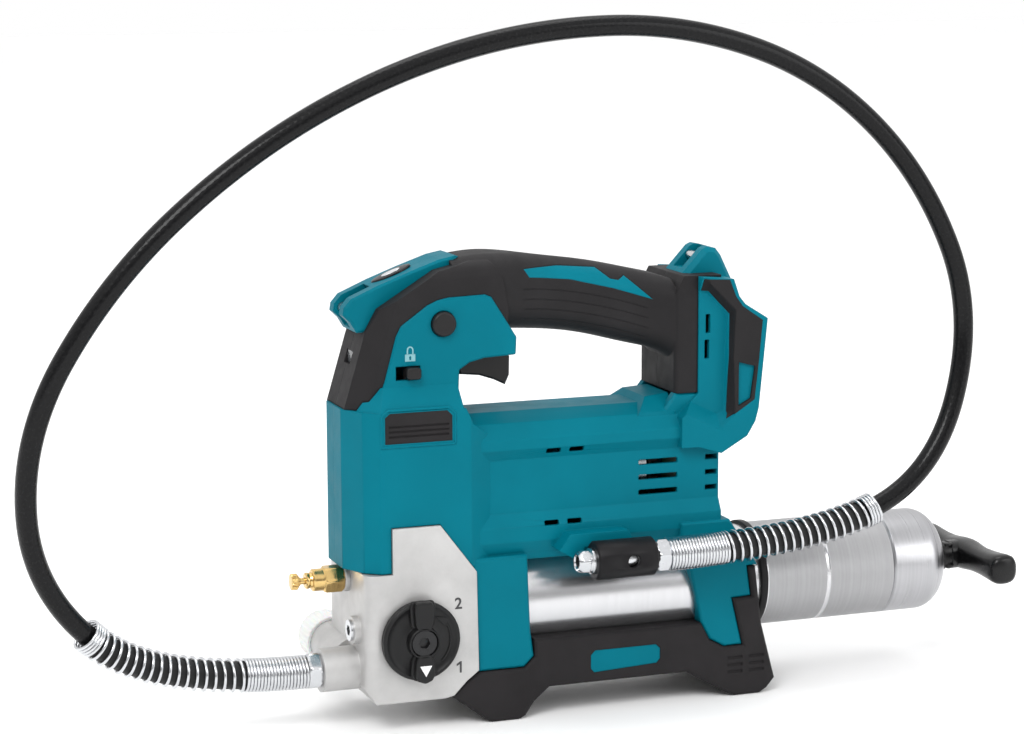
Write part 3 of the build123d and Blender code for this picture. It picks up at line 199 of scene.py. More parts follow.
def shade(colour, factor):
    """A lighter or darker tone of a colour."""
    return tuple(min(1.0, c * factor) for c in colour)


def moulded(name, colour, roughness, grain=2600.0, depth=0.00003, edge=0.0004, **inputs):
    """Injection-moulded plastic with a spark-eroded texture, slight flow marks and uneven gloss."""
    inputs.setdefault("Specular_IOR_Level", 0.30)
    shader = Shader(name, colour, roughness, **inputs)
    shader.soft_edges(edge)
    flow = shader.noise(26.0, 4.0)
    shader.tint(shader.ramp(flow, 0.0, 1.0), shade(colour, 1.06), shade(colour, 0.94))
    fine = shader.noise(grain, 2.0, 0.6)
    shader.rough(shader.ramp(shader.noise(90.0, 3.0), roughness - 0.04, roughness + 0.05))
    shader.bump(fine, depth, 0.55)
    return shader.material


def rubbery(name, colour, roughness, grooved=False):
    """Soft overmoulding: matt, with a fine leathery grain. grooved adds the handle's lines."""
    shader = Shader(name, colour, roughness, Specular_IOR_Level=0.16)
    shader.soft_edges(0.0012)
    if grooved:
        grip_grooves(shader)
    cloud = shader.noise(38.0, 4.0)
    shader.tint(shader.ramp(cloud, 0.0, 1.0), shade(colour, 1.14), shade(colour, 0.88))
    shader.rough(shader.ramp(shader.noise(140.0, 3.0), roughness - 0.05, roughness + 0.06))
    shader.bump(shader.cells(2100.0), 0.00004, 0.5)
    shader.bump(shader.noise(3800.0, 2.0), 0.00002, 0.4)
    return shader.material


GROOVE_PITCH = 0.0054       # of the handle's lines, in metres like the values below
GROOVE_HALF_W = 0.00035
GROOVE_DEPTH = 0.0006
GROOVE_SPAN_X = (-0.083, -0.010)
GROOVE_BAND = (-0.0205, 0.0035)     # in height, from the line that starts at the place below
GROOVE_BOW_X = -0.078
GROOVE_BOW_Z = 0.2308
GROOVE_FALL = 0.06          # the slope there, and how fast it grows
GROOVE_BEND = 2.1


def grip_grooves(shader):
    """Fine lines along the handle's sides, following its bow."""
    x, y, z = shader.axes()
    run = shader.math("SUBTRACT", x, GROOVE_BOW_X)
    drop = shader.math("ADD", shader.math("MULTIPLY", run, GROOVE_FALL),
                       shader.math("MULTIPLY", shader.math("MULTIPLY", run, run), GROOVE_BEND))
    height = shader.math("ADD", shader.math("SUBTRACT", z, GROOVE_BOW_Z), drop)
    wrapped = shader.math("WRAP", height, GROOVE_PITCH / 2)
    line = shader.between(wrapped, -GROOVE_HALF_W, GROOVE_HALF_W, 0.0002)
    line = shader.math("MULTIPLY", line, shader.between(x, *GROOVE_SPAN_X, 0.002))
    line = shader.math("MULTIPLY", line, shader.between(height, *GROOVE_BAND, 0.0004))
    shader.bump(shader.math("SUBTRACT", 1.0, line), GROOVE_DEPTH, 1.0)


def cast(name, colour):
    """Blasted aluminium die casting: sandy grain, soft stains and a few pits."""
    shader = Shader(name, colour, 0.46, 0.55)
    shader.soft_edges(0.0009)
    stain = shader.noise(34.0, 5.0, 0.6)
    shader.tint(shader.ramp(stain, 0.0, 1.0), shade(colour, 1.08), shade(colour, 0.88))
    shader.rough(shader.ramp(shader.noise(160.0, 4.0), 0.40, 0.56))
    shader.bump(shader.noise(1500.0, 4.0, 0.7), 0.00009, 0.55)
    shader.bump(shader.cells(700.0), 0.00005, 0.35)
    return shader.material


def turned(name, colour, roughness, axis, lines=900.0, depth=0.00001):
    """Metal turned on a lathe: fine rings round an axis along X or Y, with uneven polish."""
    shader = Shader(name, colour, roughness, 1.0)
    squeeze = tuple(lines if letter == axis else 9.0 for letter in "XYZ")
    rings = shader.noise(1.0, 3.0, 0.6, shader.scaled(squeeze))
    shader.tint(shader.ramp(rings, 0.0, 1.0), shade(colour, 1.06), shade(colour, 0.9))
    shader.rough(shader.ramp(rings, roughness - 0.05, roughness + 0.09))
    shader.bump(rings, depth, 0.5)
    return shader.material


def bright(name, colour, roughness, metallic=1.0):
    """Bright plated or drawn metal: nearly mirror-smooth, with faint waviness and handling marks."""
    shader = Shader(name, colour, roughness, metallic)
    marks = shader.noise(240.0, 5.0, 0.65)
    shader.tint(shader.ramp(marks, 0.0, 1.0), shade(colour, 1.04), shade(colour, 0.93))
    shader.rough(shader.ramp(marks, max(0.03, roughness - 0.04), roughness + 0.07))
    shader.bump(shader.noise(720.0, 3.0), 0.000012, 0.3)
    return shader.material


KNURL_PITCH = 0.0012
KNURL_TURNS = 150
KNURL_BANDS = ((0.0592, 0.0952), (0.0974, 0.1370))      # on each side of the groove


def barrel_metal(name, colour):
    """The barrel: a smooth tube, then behind the collar a fine diagonal knurl with a plain groove in it. The
    knurl's colour is darkened as painted shade, more so along its ridges.
    """
    shader = Shader(name, colour, 0.30, 0.92)
    x, y, z = shader.axes()
    turn = shader.math("ARCTAN2", y, shader.math("SUBTRACT", z, BARREL_Z * MM))
    lines = []
    for way in (-1.0, 1.0):
        phase = shader.math("ADD", shader.math("MULTIPLY", turn, KNURL_TURNS * way),
                            shader.math("MULTIPLY", x, 2 * math.pi / KNURL_PITCH))
        lines.append(shader.math("SINE", phase, 0.0))
    knurled = shader.math("ADD", *(shader.between(x, *band) for band in KNURL_BANDS))
    height = shader.math("MULTIPLY", shader.math("MULTIPLY", lines[0], lines[1]), knurled)
    rings = shader.noise(1.0, 3.0, 0.6, shader.scaled((700.0, 7.0, 7.0)))
    # Painted shade: the knurl bands are painted darker, and darker still along the knurl's bump pattern,
    # standing in for the shade in its grooves.
    knurl_painted_shade = shader.math("ADD", shader.math("MULTIPLY", knurled, 0.72), shader.math("MULTIPLY", height, 0.24))
    shader.tint(shader.math("ADD", knurl_painted_shade, shader.ramp(rings, 0.0, 0.10)), shade(colour, 0.44), colour)
    shader.rough(shader.math("ADD", shader.math("MULTIPLY", knurled, 0.14), shader.ramp(rings, 0.23, 0.27)))
    shader.bump(height, 0.00008, 0.6)
    return shader.material


TEAL = (0.0, 0.140, 0.192)
CHARCOAL = (0.0150, 0.0140, 0.0150)
BLACK = (0.006, 0.006, 0.0065)
BRASS = (0.72, 0.50, 0.20)

MATERIALS = {
    "teal_shell": moulded("teal_shell", TEAL, 0.44, edge=0.0009, Specular_IOR_Level=0.06),
    "soft_skin": rubbery("soft_skin", CHARCOAL, 0.58, grooved=True),
    "base_rubber": rubbery("base_rubber", (0.0165, 0.0150, 0.0160), 0.62),
    "badge_black": moulded("badge_black", (0.010, 0.010, 0.013), 0.28),
    "pin_steel": bright("pin_steel", (0.62, 0.62, 0.63), 0.24),
    "screw_steel": turned("screw_steel", (0.42, 0.42, 0.44), 0.34, "Y"),
    "lamp_clear": moulded("lamp_clear", (0.16, 0.17, 0.18), 0.10, Transmission_Weight=0.5, IOR=1.49),
    "black_plastic": moulded("black_plastic", BLACK, 0.5),
    "contact_brass": bright("contact_brass", (0.80, 0.60, 0.30), 0.25),
    "board_green": moulded("board_green", (0.02, 0.12, 0.05), 0.35),
    "holder_rubber": rubbery("holder_rubber", (0.0085, 0.0080, 0.0090), 0.42),
    "cast_metal": cast("cast_metal", (0.50, 0.495, 0.49)),
    "dial_black": moulded("dial_black", (0.0058, 0.0058, 0.0062), 0.40, depth=0.00002, edge=0.0007),
    "screw_black": bright("screw_black", (0.012, 0.012, 0.013), 0.34, metallic=0.3),
    "valve_brass": turned("valve_brass", BRASS, 0.20, "X"),
    "plated_steel": bright("plated_steel", (0.60, 0.61, 0.63), 0.22),
    "spring_steel": bright("spring_steel", (0.55, 0.55, 0.57), 0.22),
    "cap_clear": moulded("cap_clear", (0.80, 0.80, 0.79), 0.35, Transmission_Weight=0.2, IOR=1.5,
                         Subsurface_Weight=0.3, Subsurface_Scale=0.004),
    "trigger_black": moulded("trigger_black", (0.0085, 0.0078, 0.0082), 0.44),
    "barrel_chrome": barrel_metal("barrel_chrome", (0.66, 0.66, 0.675)),
    "cap_satin": turned("cap_satin", (0.43, 0.43, 0.445), 0.30, "X", lines=1100.0, depth=0.000001),
    "handle_black": moulded("handle_black", (0.0035, 0.0035, 0.0038), 0.26, grain=900.0, depth=0.00004),
    "hose_black": moulded("hose_black", BLACK, 0.25),
    "guard_wire": bright("guard_wire", (0.62, 0.63, 0.65), 0.22),
}
PAINT_WHITE = moulded("paint_white", (0.86, 0.86, 0.86), 0.45)
PAINT_GREY = moulded("paint_grey", (0.055, 0.055, 0.058), 0.5)
ICON_TEAL = moulded("icon_teal", (0.20, 0.42, 0.46), 0.5)
BADGE_SILVER = bright("badge_silver", (0.72, 0.73, 0.75), 0.35)


# ---------------------------------------------------------------- geometry helpers
def new_object(name, data):
    """An object in the scene that shows that data."""
    thing = bpy.data.objects.new(name, data)
    bpy.context.scene.collection.objects.link(thing)
    return thing


def finish_piece(piece, body, slot, replaced=(), material=None):
    """Gives a piece its material and body, and hides the CAD nodes that it stands for."""
    piece.data.materials.clear()
    piece.data.materials.append(material or MATERIALS[slot])
    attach(piece, body)
    if replaced:
        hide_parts(*replaced)
    return piece


def mesh_object(name, points, faces, smooth=True):
    """A mesh object with its normals facing outwards. Points are in metres."""
    mesh = bpy.data.meshes.new(name)
    mesh.from_pydata([tuple(point) for point in points], [], faces)
    mesh.validate()
    bm = bmesh.new()
    bm.from_mesh(mesh)
    bmesh.ops.recalc_face_normals(bm, faces=bm.faces)
    bm.to_mesh(mesh)
    bm.free()
    for polygon in mesh.polygons:
        polygon.use_smooth = smooth
    return new_object(name, mesh)


def auto_smooth(piece, degrees=32.0):
    """Edges sharper than the angle stay sharp, the rest shade smooth."""
    mesh = piece.data
    bm = bmesh.new()
    bm.from_mesh(mesh)
    for face in bm.faces:
        face.smooth = True
    for edge in bm.edges:
        edge.smooth = len(edge.link_faces) == 2 and edge.calc_face_angle(0.0) < math.radians(degrees)
    bm.to_mesh(mesh)
    bm.free()


def grid_faces(rings, around, closed_rings=False):
    """Quads between rings of points that each go once around."""
    faces = []
    for ring in range(rings if closed_rings else rings - 1):
        here, after = ring * around, ((ring + 1) % rings) * around
        for k in range(around):
            step = (k + 1) % around
            faces.append((here + k, here + step, after + step, after + k))
    return faces


def capped_faces(rings, around):
    """Quads between rings of points, and a face over each end."""
    last = (rings - 1) * around
    return grid_faces(rings, around) + [tuple(range(around)), tuple(range(last, last + around))]


def round_section(centres, frames, radius, around):
    """A ring of points round each centre, square to the line through them."""
    points = []
    for centre, (_, side, up) in zip(centres, frames):
        for n in range(around):
            angle = 2 * math.pi * n / around
            points.append(centre + (side * math.cos(angle) + up * math.sin(angle)) * radius)
    return points


def on_axis(axis, centre, along, across, up):
    """A point in metres from millimetres along an axis and off it."""
    first, second = centre
    place = {"X": (along, first + across, second + up), "Y": (first + across, along, second + up),
             "Z": (first + across, second + up, along)}[axis]
    return Vector(place) * MM


def lathe(name, stations, axis, centre, around=96, closed=False, ribs=0, rib_depth=0.0, turn=0.0):
    """A turned piece. A station is (along the axis, radius) or (along, radius, half width across flats)."""
    points = []
    for along, radius, *flat in stations:
        for n in range(around):
            angle = 2 * math.pi * n / around
            reach = radius
            if flat:
                off_flat = (angle + turn) % (math.pi / 3) - math.pi / 6
                reach = min(radius, flat[0] / math.cos(off_flat))
            reach -= rib_depth * (0.5 + 0.5 * math.cos(ribs * angle))
            points.append(on_axis(axis, centre, along, reach * math.cos(angle), reach * math.sin(angle)))
    faces = grid_faces(len(stations), around, True) if closed else capped_faces(len(stations), around)
    piece = mesh_object(name, points, faces)
    auto_smooth(piece)
    return piece


def prism(name, outline, y0, y1, edge=0.0):
    """An XZ outline in millimetres, extruded between two planes, with its edges rounded."""
    count = len(outline)
    points = [Vector((x, y, z)) * MM for y in (y0, y1) for x, z in outline]
    faces = [tuple(range(count)), tuple(range(count, 2 * count))]
    faces += [(k, (k + 1) % count, count + (k + 1) % count, count + k) for k in range(count)]
    piece = mesh_object(name, points, faces, smooth=edge > 0)
    if edge:
        bevel = piece.modifiers.new("bevel", "BEVEL")
        bevel.width = edge * MM
        bevel.segments = 3
        bevel.limit_method = "ANGLE"
        bevel.angle_limit = math.radians(30)
        bevel.harden_normals = True
    return piece


def soft_loft(name, stations, axis, around=48):
    """Rounded-square rings: (along, centre across, centre up, half width, half height, power)."""
    points = []
    for along, across, up, half_w, half_h, power in stations:
        for n in range(around):
            angle = 2 * math.pi * n / around
            c, d = math.cos(angle), math.sin(angle)
            right = half_w * math.copysign(abs(c) ** (2 / power), c)
            rise = half_h * math.copysign(abs(d) ** (2 / power), d)
            points.append(on_axis(axis, (across, up), along, right, rise))
    piece = mesh_object(name, points, capped_faces(len(stations), around))
    auto_smooth(piece, 50)
    return piece


def bead(name, path, radius):
    """A closed round bead along a loop of points in metres."""
    around = 8
    frames = []
    for k in range(len(path)):
        tangent = (path[(k + 1) % len(path)] - path[k - 1]).normalized()
        side = tangent.cross(Vector((0, 1, 0))).normalized()
        frames.append((tangent, side, tangent.cross(side)))
    points = round_section(path, frames, radius, around)
    return mesh_object(name, points, grid_faces(len(path), around, True))


def frames_along(points):
    """(tangent, side, up) at each point, turning as little as possible."""
    frames = []
    side = Vector((0.0, 1.0, 0.0))
    for k in range(len(points)):
        tangent = (points[min(k + 1, len(points) - 1)] - points[max(k - 1, 0)]).normalized()
        side = (side - tangent * side.dot(tangent)).normalized()
        frames.append((tangent, side, tangent.cross(side)))
    return frames


def wire(name, line, radius, around):
    """A round wire or bar along a line in metres, closed at its ends."""
    points = round_section(line, frames_along(line), radius, around)
    return mesh_object(name, points, capped_faces(len(line), around))


def coil(name, axis, centre, start, end, mean_r, wire_r, turns, close_turns=1.5):
    """A compression spring, its last turns closed up at each end."""
    per_turn = 28
    close = 2.1 * wire_r
    pitch = (end - start - 2 * wire_r - 2 * close * close_turns) / (turns - 2 * close_turns)
    along, line = start + wire_r, []
    for step in range(int(turns * per_turn) + 1):
        turn = step / per_turn
        angle = 2 * math.pi * turn
        line.append(on_axis(axis, centre, along, mean_r * math.cos(angle), mean_r * math.sin(angle)))
        inside = close_turns <= turn < turns - close_turns
        along += (pitch if inside else close) / per_turn
    return wire(name, line, wire_r * MM, 8)


# ---------------------------------------------------------------- hose
HOSE_DIAMETER = 0.011       # in metres, like the route
HOSE_STEP = 0.0025
BRAID_STRANDS = 16
BRAID_PITCH = 0.0042
HOSE_POINTS = [
    (-0.203, -0.012, 0.032), (-0.286, -0.012, 0.032), (-0.349, -0.027, 0.092),
    (-0.357, -0.057, 0.177), (-0.314, -0.068, 0.252), (-0.249, -0.068, 0.309),
    (-0.173, -0.065, 0.349), (-0.090, -0.057, 0.370), (-0.004, -0.051, 0.371),
    (0.078, -0.046, 0.344), (0.142, -0.042, 0.287), (0.181, -0.035, 0.207),
    (0.152, -0.047, 0.118), (0.071, -0.050, 0.088), (-0.012, -0.050, 0.088),
]


def nurbs_route(name, points):
    """One open NURBS spline with those control points."""
    curve = bpy.data.curves.new(name, "CURVE")
    curve.dimensions = "3D"
    curve.resolution_u = 32
    spline = curve.splines.new("NURBS")
    spline.points.add(len(points) - 1)
    for control, point in zip(spline.points, points):
        control.co = (*point, 1.0)
    spline.order_u = 3
    spline.use_endpoint_u = True
    return new_object(name, curve)


def evaluated_line(curve_object):
    """The points that a curve with no bevel passes through."""
    mesh = bpy.data.meshes.new_from_object(curve_object)
    line = [vertex.co.copy() for vertex in mesh.vertices]
    bpy.data.meshes.remove(mesh)
    return line


def resampled(line, step):
    """Points along a line at even distances, and the line's length."""
    lengths = [0.0]
    for before, here in zip(line, line[1:]):
        lengths.append(lengths[-1] + (here - before).length)
    count = max(2, round(lengths[-1] / step))
    points, k = [], 0
    for number in range(count + 1):
        goal = lengths[-1] * number / count
        while k < len(line) - 2 and lengths[k + 1] < goal:
            k += 1
        share = (goal - lengths[k]) / max(1e-9, lengths[k + 1] - lengths[k])
        points.append(line[k].lerp(line[k + 1], min(1.0, share)))
    return points, lengths[-1]


def tube(name, points, radius, around):
    """A closed tube round a line, with UVs: U around, V along in metres."""
    piece = wire(name, points, radius, around)
    layer = piece.data.uv_layers.new(name="UVMap")
    spacing = (points[1] - points[0]).length
    for polygon in piece.data.polygons:
        columns = [piece.data.loops[loop].vertex_index % around for loop in polygon.loop_indices]
        wraps = len(columns) == 4 and max(columns) - min(columns) > 1
        for loop in polygon.loop_indices:
            index = piece.data.loops[loop].vertex_index
            column = index % around
            turn = 1.0 if wraps and column == 0 else column / around
            layer.data[loop].uv = (turn, (index // around) * spacing)
    return piece


def hose_material():
    """Black hose: glossy jacket over a braid that shows through as fine crossing ribs."""
    shader = Shader("hose_jacket", (0.006, 0.006, 0.0065), 0.24, Specular_IOR_Level=0.10, Coat_Weight=0.10,
                    Coat_Roughness=0.06)
    shader.place = shader.nodes["Texture Coordinate"].outputs["UV"]
    parts = shader.nodes.new("ShaderNodeSeparateXYZ")
    shader.links.new(shader.place, parts.inputs["Vector"])
    around, along = parts.outputs["X"], parts.outputs["Y"]
    heights = []
    for way in (-1.0, 1.0):
        phase = shader.math("ADD", shader.math("MULTIPLY", around, 2 * math.pi * BRAID_STRANDS * way),
                            shader.math("MULTIPLY", along, 2 * math.pi / BRAID_PITCH))
        heights.append(shader.math("SINE", phase, 0.0))
    weave = shader.math("MAXIMUM", heights[0], heights[1])
    shader.bump(weave, 0.00007, 0.35)
    cloud = shader.noise(60.0, 4.0, place=shader.scaled((0.4, 9.0, 1.0)))
    shader.tint(shader.ramp(cloud, 0.0, 1.0), (0.009, 0.009, 0.0095), (0.005, 0.005, 0.0055))
    shader.rough(shader.ramp(cloud, 0.17, 0.30))
    return shader.material


route = nurbs_route("hose_route", HOSE_POINTS)
hose_line, HOSE_LENGTH = resampled(evaluated_line(route), HOSE_STEP)
bpy.data.objects.remove(route)
hose = tube("hose_jacket", hose_line, HOSE_DIAMETER / 2, 24)
finish_piece(hose, ROOT, "hose_black", ["hose"], hose_material())

# ---------------------------------------------------------------- spring guards, in metres
WIRE_R = 0.00088
GUARD_MEAN_R = 0.0092 - WIRE_R
GUARD_LENGTH = 0.128
GUARD_CLOSE_PITCH = 2.04 * WIRE_R
GUARD_DENSE_TURNS = 19
GUARD_OPEN_TURNS = 17
GUARD_END_TURNS = 4
SLEEVE_R = 0.0073
SLEEVE_LENGTH = GUARD_LENGTH - 0.004


def spring_guard(name, line, node):
    """A wire guard wound round the hose: close turns at the fitting, open ones, close ones at its end."""
    per_turn = 26
    first_open, last_open = GUARD_DENSE_TURNS, GUARD_DENSE_TURNS + GUARD_OPEN_TURNS
    closed_up = GUARD_CLOSE_PITCH * (GUARD_DENSE_TURNS + GUARD_END_TURNS)
    opening = (GUARD_LENGTH - closed_up) / GUARD_OPEN_TURNS - GUARD_CLOSE_PITCH
    frames = frames_along(line)
    spacing = (line[1] - line[0]).length
    centres = []
    travel = 0.0
    for step in range((last_open + GUARD_END_TURNS) * per_turn + 1):
        turn = step / per_turn
        share = min(1.0, min(abs(turn - first_open), abs(turn - last_open)) * 1.2 + 0.35)
        k = min(len(line) - 2, int(travel / spacing))
        point = line[k].lerp(line[k + 1], travel / spacing - k)
        _, side, up = frames[k]
        angle = 2 * math.pi * turn
        outward = side * math.cos(angle) + up * math.sin(angle)
        centres.append(point + outward * GUARD_MEAN_R)
        pitch = GUARD_CLOSE_PITCH + (opening * share if first_open < turn < last_open else 0.0)
        travel += pitch / per_turn
    return finish_piece(wire(name, centres, WIRE_R, 9), ROOT, "guard_wire", [node])


outlet_guard = spring_guard("outlet_guard_wire", hose_line, "outlet_guard")
coupler_guard = spring_guard("coupler_guard_wire", hose_line[::-1], "coupler_guard")
sleeve_stations = int(SLEEVE_LENGTH / (hose_line[1] - hose_line[0]).length)
for name, line in (("outlet", hose_line), ("coupler", hose_line[::-1])):
    sleeve = tube(f"{name}_guard_sleeve", line[1:sleeve_stations], SLEEVE_R, 32)
    finish_piece(sleeve, ROOT, "hose_black", material=MATERIALS["black_plastic"])

# ---------------------------------------------------------------- CAD nodes that stay, with better finish
SLOT_OF = {part["node"]: part["material_slot"] for part in frame["record"]["subparts"]}
for name, node in NODES.items():
    node.data.materials.clear()
    node.data.materials.append(MATERIALS[SLOT_OF[name]])
    weld = node.modifiers.new("weld", "WELD")
    weld.merge_threshold = 0.01 * MM

# ---------------------------------------------------------------- barrel and T-handle


def arc_stations(along, radius, run, drop, count=12):
    """A quarter of an ellipse, from level at (along, radius) to square with the axis."""
    steps = [math.pi / 2 * k / count for k in range(1, count + 1)]
    return [(along + run * math.sin(t), radius - drop * (1 - math.cos(t))) for t in steps]


tube_profile = [
    (-113.5, TUBE_BORE_R), (-113.5, TUBE_R - 0.3), (-113.2, TUBE_R), (KNURL_X0 - 0.4, TUBE_R),
    (KNURL_X0, BARREL_R), (GROOVE_X0, BARREL_R), (GROOVE_X0 + 0.5, BARREL_R - 0.4),
    (GROOVE_X1 - 0.5, BARREL_R - 0.4), (GROOVE_X1, BARREL_R), (CAP_X0 - 1.2, BARREL_R),
    (CAP_X0 - 0.6, BARREL_R - 0.4), (CAP_X0 - 0.1, BARREL_R - 1.1), (CAP_X0 - 0.1, TUBE_BORE_R),
]
finish_piece(lathe("barrel_tube_turned", tube_profile, "X", BARREL_AXIS, 160, closed=True),
             ROOT, "barrel_chrome", ["barrel_tube"])
cap_profile = [
    (CAP_X0, TUBE_BORE_R), (CAP_X0, BARREL_R - 1.1), (CAP_X0 + 0.5, BARREL_R - 0.4),
    (CAP_X0 + 1.1, BARREL_R), (161.0, BARREL_R), *arc_stations(161.0, BARREL_R, 14.0, 15.0), (176.2, 13.2),
    (176.6, 12.4), (178.0, 10.6), (178.0, 4.1), (170.0, 4.1), (170.0, 20.0), (163.0, TUBE_BORE_R),
]
finish_piece(lathe("barrel_cap_turned", cap_profile, "X", BARREL_AXIS, 160, closed=True),
             ROOT, "cap_satin", ["barrel_cap"])
collar_profile = [
    (COLLAR_X0, 28.6), (COLLAR_X0, 30.2), (COLLAR_X0 + 0.4, 30.5), (COLLAR_X1 - 1.1, 30.5),
    (COLLAR_X1 - 0.3, 30.1), (COLLAR_X1, 29.4), (COLLAR_X1, 28.6),
]
finish_piece(lathe("barrel_collar_moulded", collar_profile, "X", BARREL_AXIS, 128, closed=True),
             ROOT, "holder_rubber", ["barrel_collar"])

half_bar = [  # along Y from the middle, half depth, half height
    (0.0, 9.4, 8.6), (6.0, 9.1, 8.3), (12.0, 8.1, 7.6), (18.0, 7.5, 7.2), (26.0, 7.4, 7.3), (34.0, 7.8, 7.8),
    (41.0, 8.2, 8.4), (44.5, 8.1, 8.4), (46.6, 7.2, 7.5), (47.5, 5.4, 5.8),
]
bar_rings = [(-y, depth, height) for y, depth, height in reversed(half_bar[1:])] + half_bar
bar_stations = [(y, HANDLE_X, BARREL_Z, depth, height, 2.7) for y, depth, height in bar_rings]
finish_piece(soft_loft("t_handle_bar", bar_stations, "Y", 64), "pull_rod", "handle_black", ["t_handle"])
stem_rings = [
    (179.5, 7.0), (180.0, 7.9), (181.4, 8.2), (183.2, 8.2), (183.6, 7.6), (186.4, 7.6), (186.8, 8.2),
    (189.0, 8.1), (193.0, 8.0), (197.0, 8.4),
]
stem = soft_loft("t_handle_stem", [(x, 0.0, BARREL_Z, r, r, 2.4) for x, r in stem_rings], "X", 64)
finish_piece(stem, "pull_rod", "handle_black")
LUG_OFF_AXIS = 7.9
LUG_RINGS = ((182.6, 1.2), (183.0, 1.6), (187.0, 1.6), (187.4, 1.2))
for number, tilt in enumerate((0.6, 2.2, 3.8, 5.4), start=1):
    lug_y, lug_z = LUG_OFF_AXIS * math.cos(tilt), BARREL_Z + LUG_OFF_AXIS * math.sin(tilt)
    lug = soft_loft(f"t_handle_lug_{number}", [(x, lug_y, lug_z, r, r, 3) for x, r in LUG_RINGS], "X", 20)
    finish_piece(lug, "pull_rod", "handle_black")

# ---------------------------------------------------------------- springs inside
follower_coil = coil("follower_spring_wire", "X", BARREL_AXIS, start=-95.9, end=169.9,
                     mean_r=17.0, wire_r=1.0, turns=22)
finish_piece(follower_coil, ROOT, "spring_steel", ["follower_spring"])
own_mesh(follower_coil)
trigger_coil = coil("trigger_spring_wire", "Z", (-105.0, 0.0), start=203.6, end=207.9,
                    mean_r=2.8, wire_r=0.35, turns=4.5, close_turns=1.0)
finish_piece(trigger_coil, ROOT, "spring_steel", ["trigger_spring"])
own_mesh(trigger_coil)
check_coil = coil("check_spring_wire", "X", CHECK_AXIS, start=-173.9, end=-166.9,
                  mean_r=2.8, wire_r=0.35, turns=6, close_turns=1.2)
finish_piece(check_coil, ROOT, "spring_steel", ["check_spring"])

# ---------------------------------------------------------------- fittings on the hose
nut_profile = [
    (-203.0, 5.6), (-203.0, 8.9), (-202.2, 9.7, 9.0), (-201.4, 10.4, 9.0), (-197.2, 10.4, 9.0),
    (-196.3, 9.7, 9.0), (-195.6, 8.9), (-195.6, 3.0), (-180.0, 3.0), (-180.0, 2.0), (-196.0, 2.0),
    (-196.0, 5.6),
]
hose_nut = lathe("hose_nut_hex", nut_profile, "X", OUTLET_AXIS, 96, closed=True, turn=0.35)
finish_piece(hose_nut, ROOT, "plated_steel", ["hose_nut"])
coupler_profile = [
    (-50.0, 3.3), (-63.2, 3.3), (-64.0, 3.9), (-64.0, 4.6), (-62.9, 5.7, 5.4), (-61.8, 6.5, 5.9),
    (-58.2, 6.5, 5.9), (-57.6, 6.0, 5.8), (-57.2, 6.2), (-56.6, 7.0), (-46.0, 7.0), (-45.6, 6.6),
    (-44.6, 6.6), (-44.2, 7.0), (-21.0, 7.0), (-20.0, 7.9), (-19.2, 8.8, 8.3), (-18.4, 9.6, 8.3),
    (-13.6, 9.6, 8.3), (-12.8, 8.9, 8.3), (-12.0, 8.0), (-12.0, 2.6), (-50.0, 2.6),
]
coupler = lathe("coupler_body", coupler_profile, "X", COUPLER_AXIS, 96, closed=True, turn=0.2)
finish_piece(coupler, ROOT, "plated_steel", ["coupler"])

# ---------------------------------------------------------------- bleed valve
valve_profile = [
    (-170.5, 1.9), (-170.5, 3.0), (-178.8, 3.0), (-178.8, 6.3), (-179.4, 7.0, 6.6), (-180.2, 7.7, 6.6),
    (-188.4, 7.7, 6.6), (-189.2, 7.0, 6.6), (-189.6, 6.3), (-190.0, 6.0), (-195.2, 6.0), (-195.8, 5.5),
    (-196.0, 4.5), (-197.2, 4.1), (-197.8, 4.4), (-198.9, 4.4), (-199.5, 3.8), (-199.5, 1.9),
]
finish_piece(lathe("bleed_valve_body", valve_profile, "X", BLEED_AXIS, 96, closed=True),
             ROOT, "valve_brass", ["bleed_valve"])
washer_profile = [(-176.0, 3.1), (-176.0, 7.4), (-178.3, 7.4), (-178.8, 7.0), (-178.8, 3.1)]
finish_piece(lathe("bleed_washer", washer_profile, "X", BLEED_AXIS, 72, closed=True), ROOT, "cast_metal")
stem_profile = [
    (-178.0, 0.3), (-178.0, 1.75), (-202.1, 1.75), (-202.3, 2.4), (-202.6, 2.7), (-203.2, 2.7), (-203.5, 2.2),
    (-203.5, 0.3),
]
finish_piece(lathe("bleed_stem_rod", stem_profile, "X", BLEED_AXIS, 48),
             "bleed_stem", "valve_brass", ["bleed_stem"])
knob_profile = [
    (-203.4, 0.3), (-203.4, 3.7), (-203.9, 4.4), (-206.8, 4.4), (-207.2, 4.1), (-207.3, 3.7), (-207.3, 0.3),
]
finish_piece(lathe("bleed_stem_knob", knob_profile, "X", BLEED_AXIS, 180, ribs=36, rib_depth=0.22),
             "bleed_stem", "valve_brass")

# ---------------------------------------------------------------- filler cap
filler_profile = [
    (57.5, 0.3), (57.5, 12.2), (57.0, 12.6), (40.2, 12.6), (40.0, 12.8), (40.0, 14.2), (40.6, 14.5),
    (58.3, 14.5), (59.8, 13.7), (60.5, 12.2), (60.5, 8.0), (60.1, 7.6), (60.1, 0.3),
]
finish_piece(lathe("filler_cap_ribbed", filler_profile, "Y", FILLER_AXIS, 192, ribs=32, rib_depth=0.35),
             ROOT, "cap_clear", ["filler_cap"])

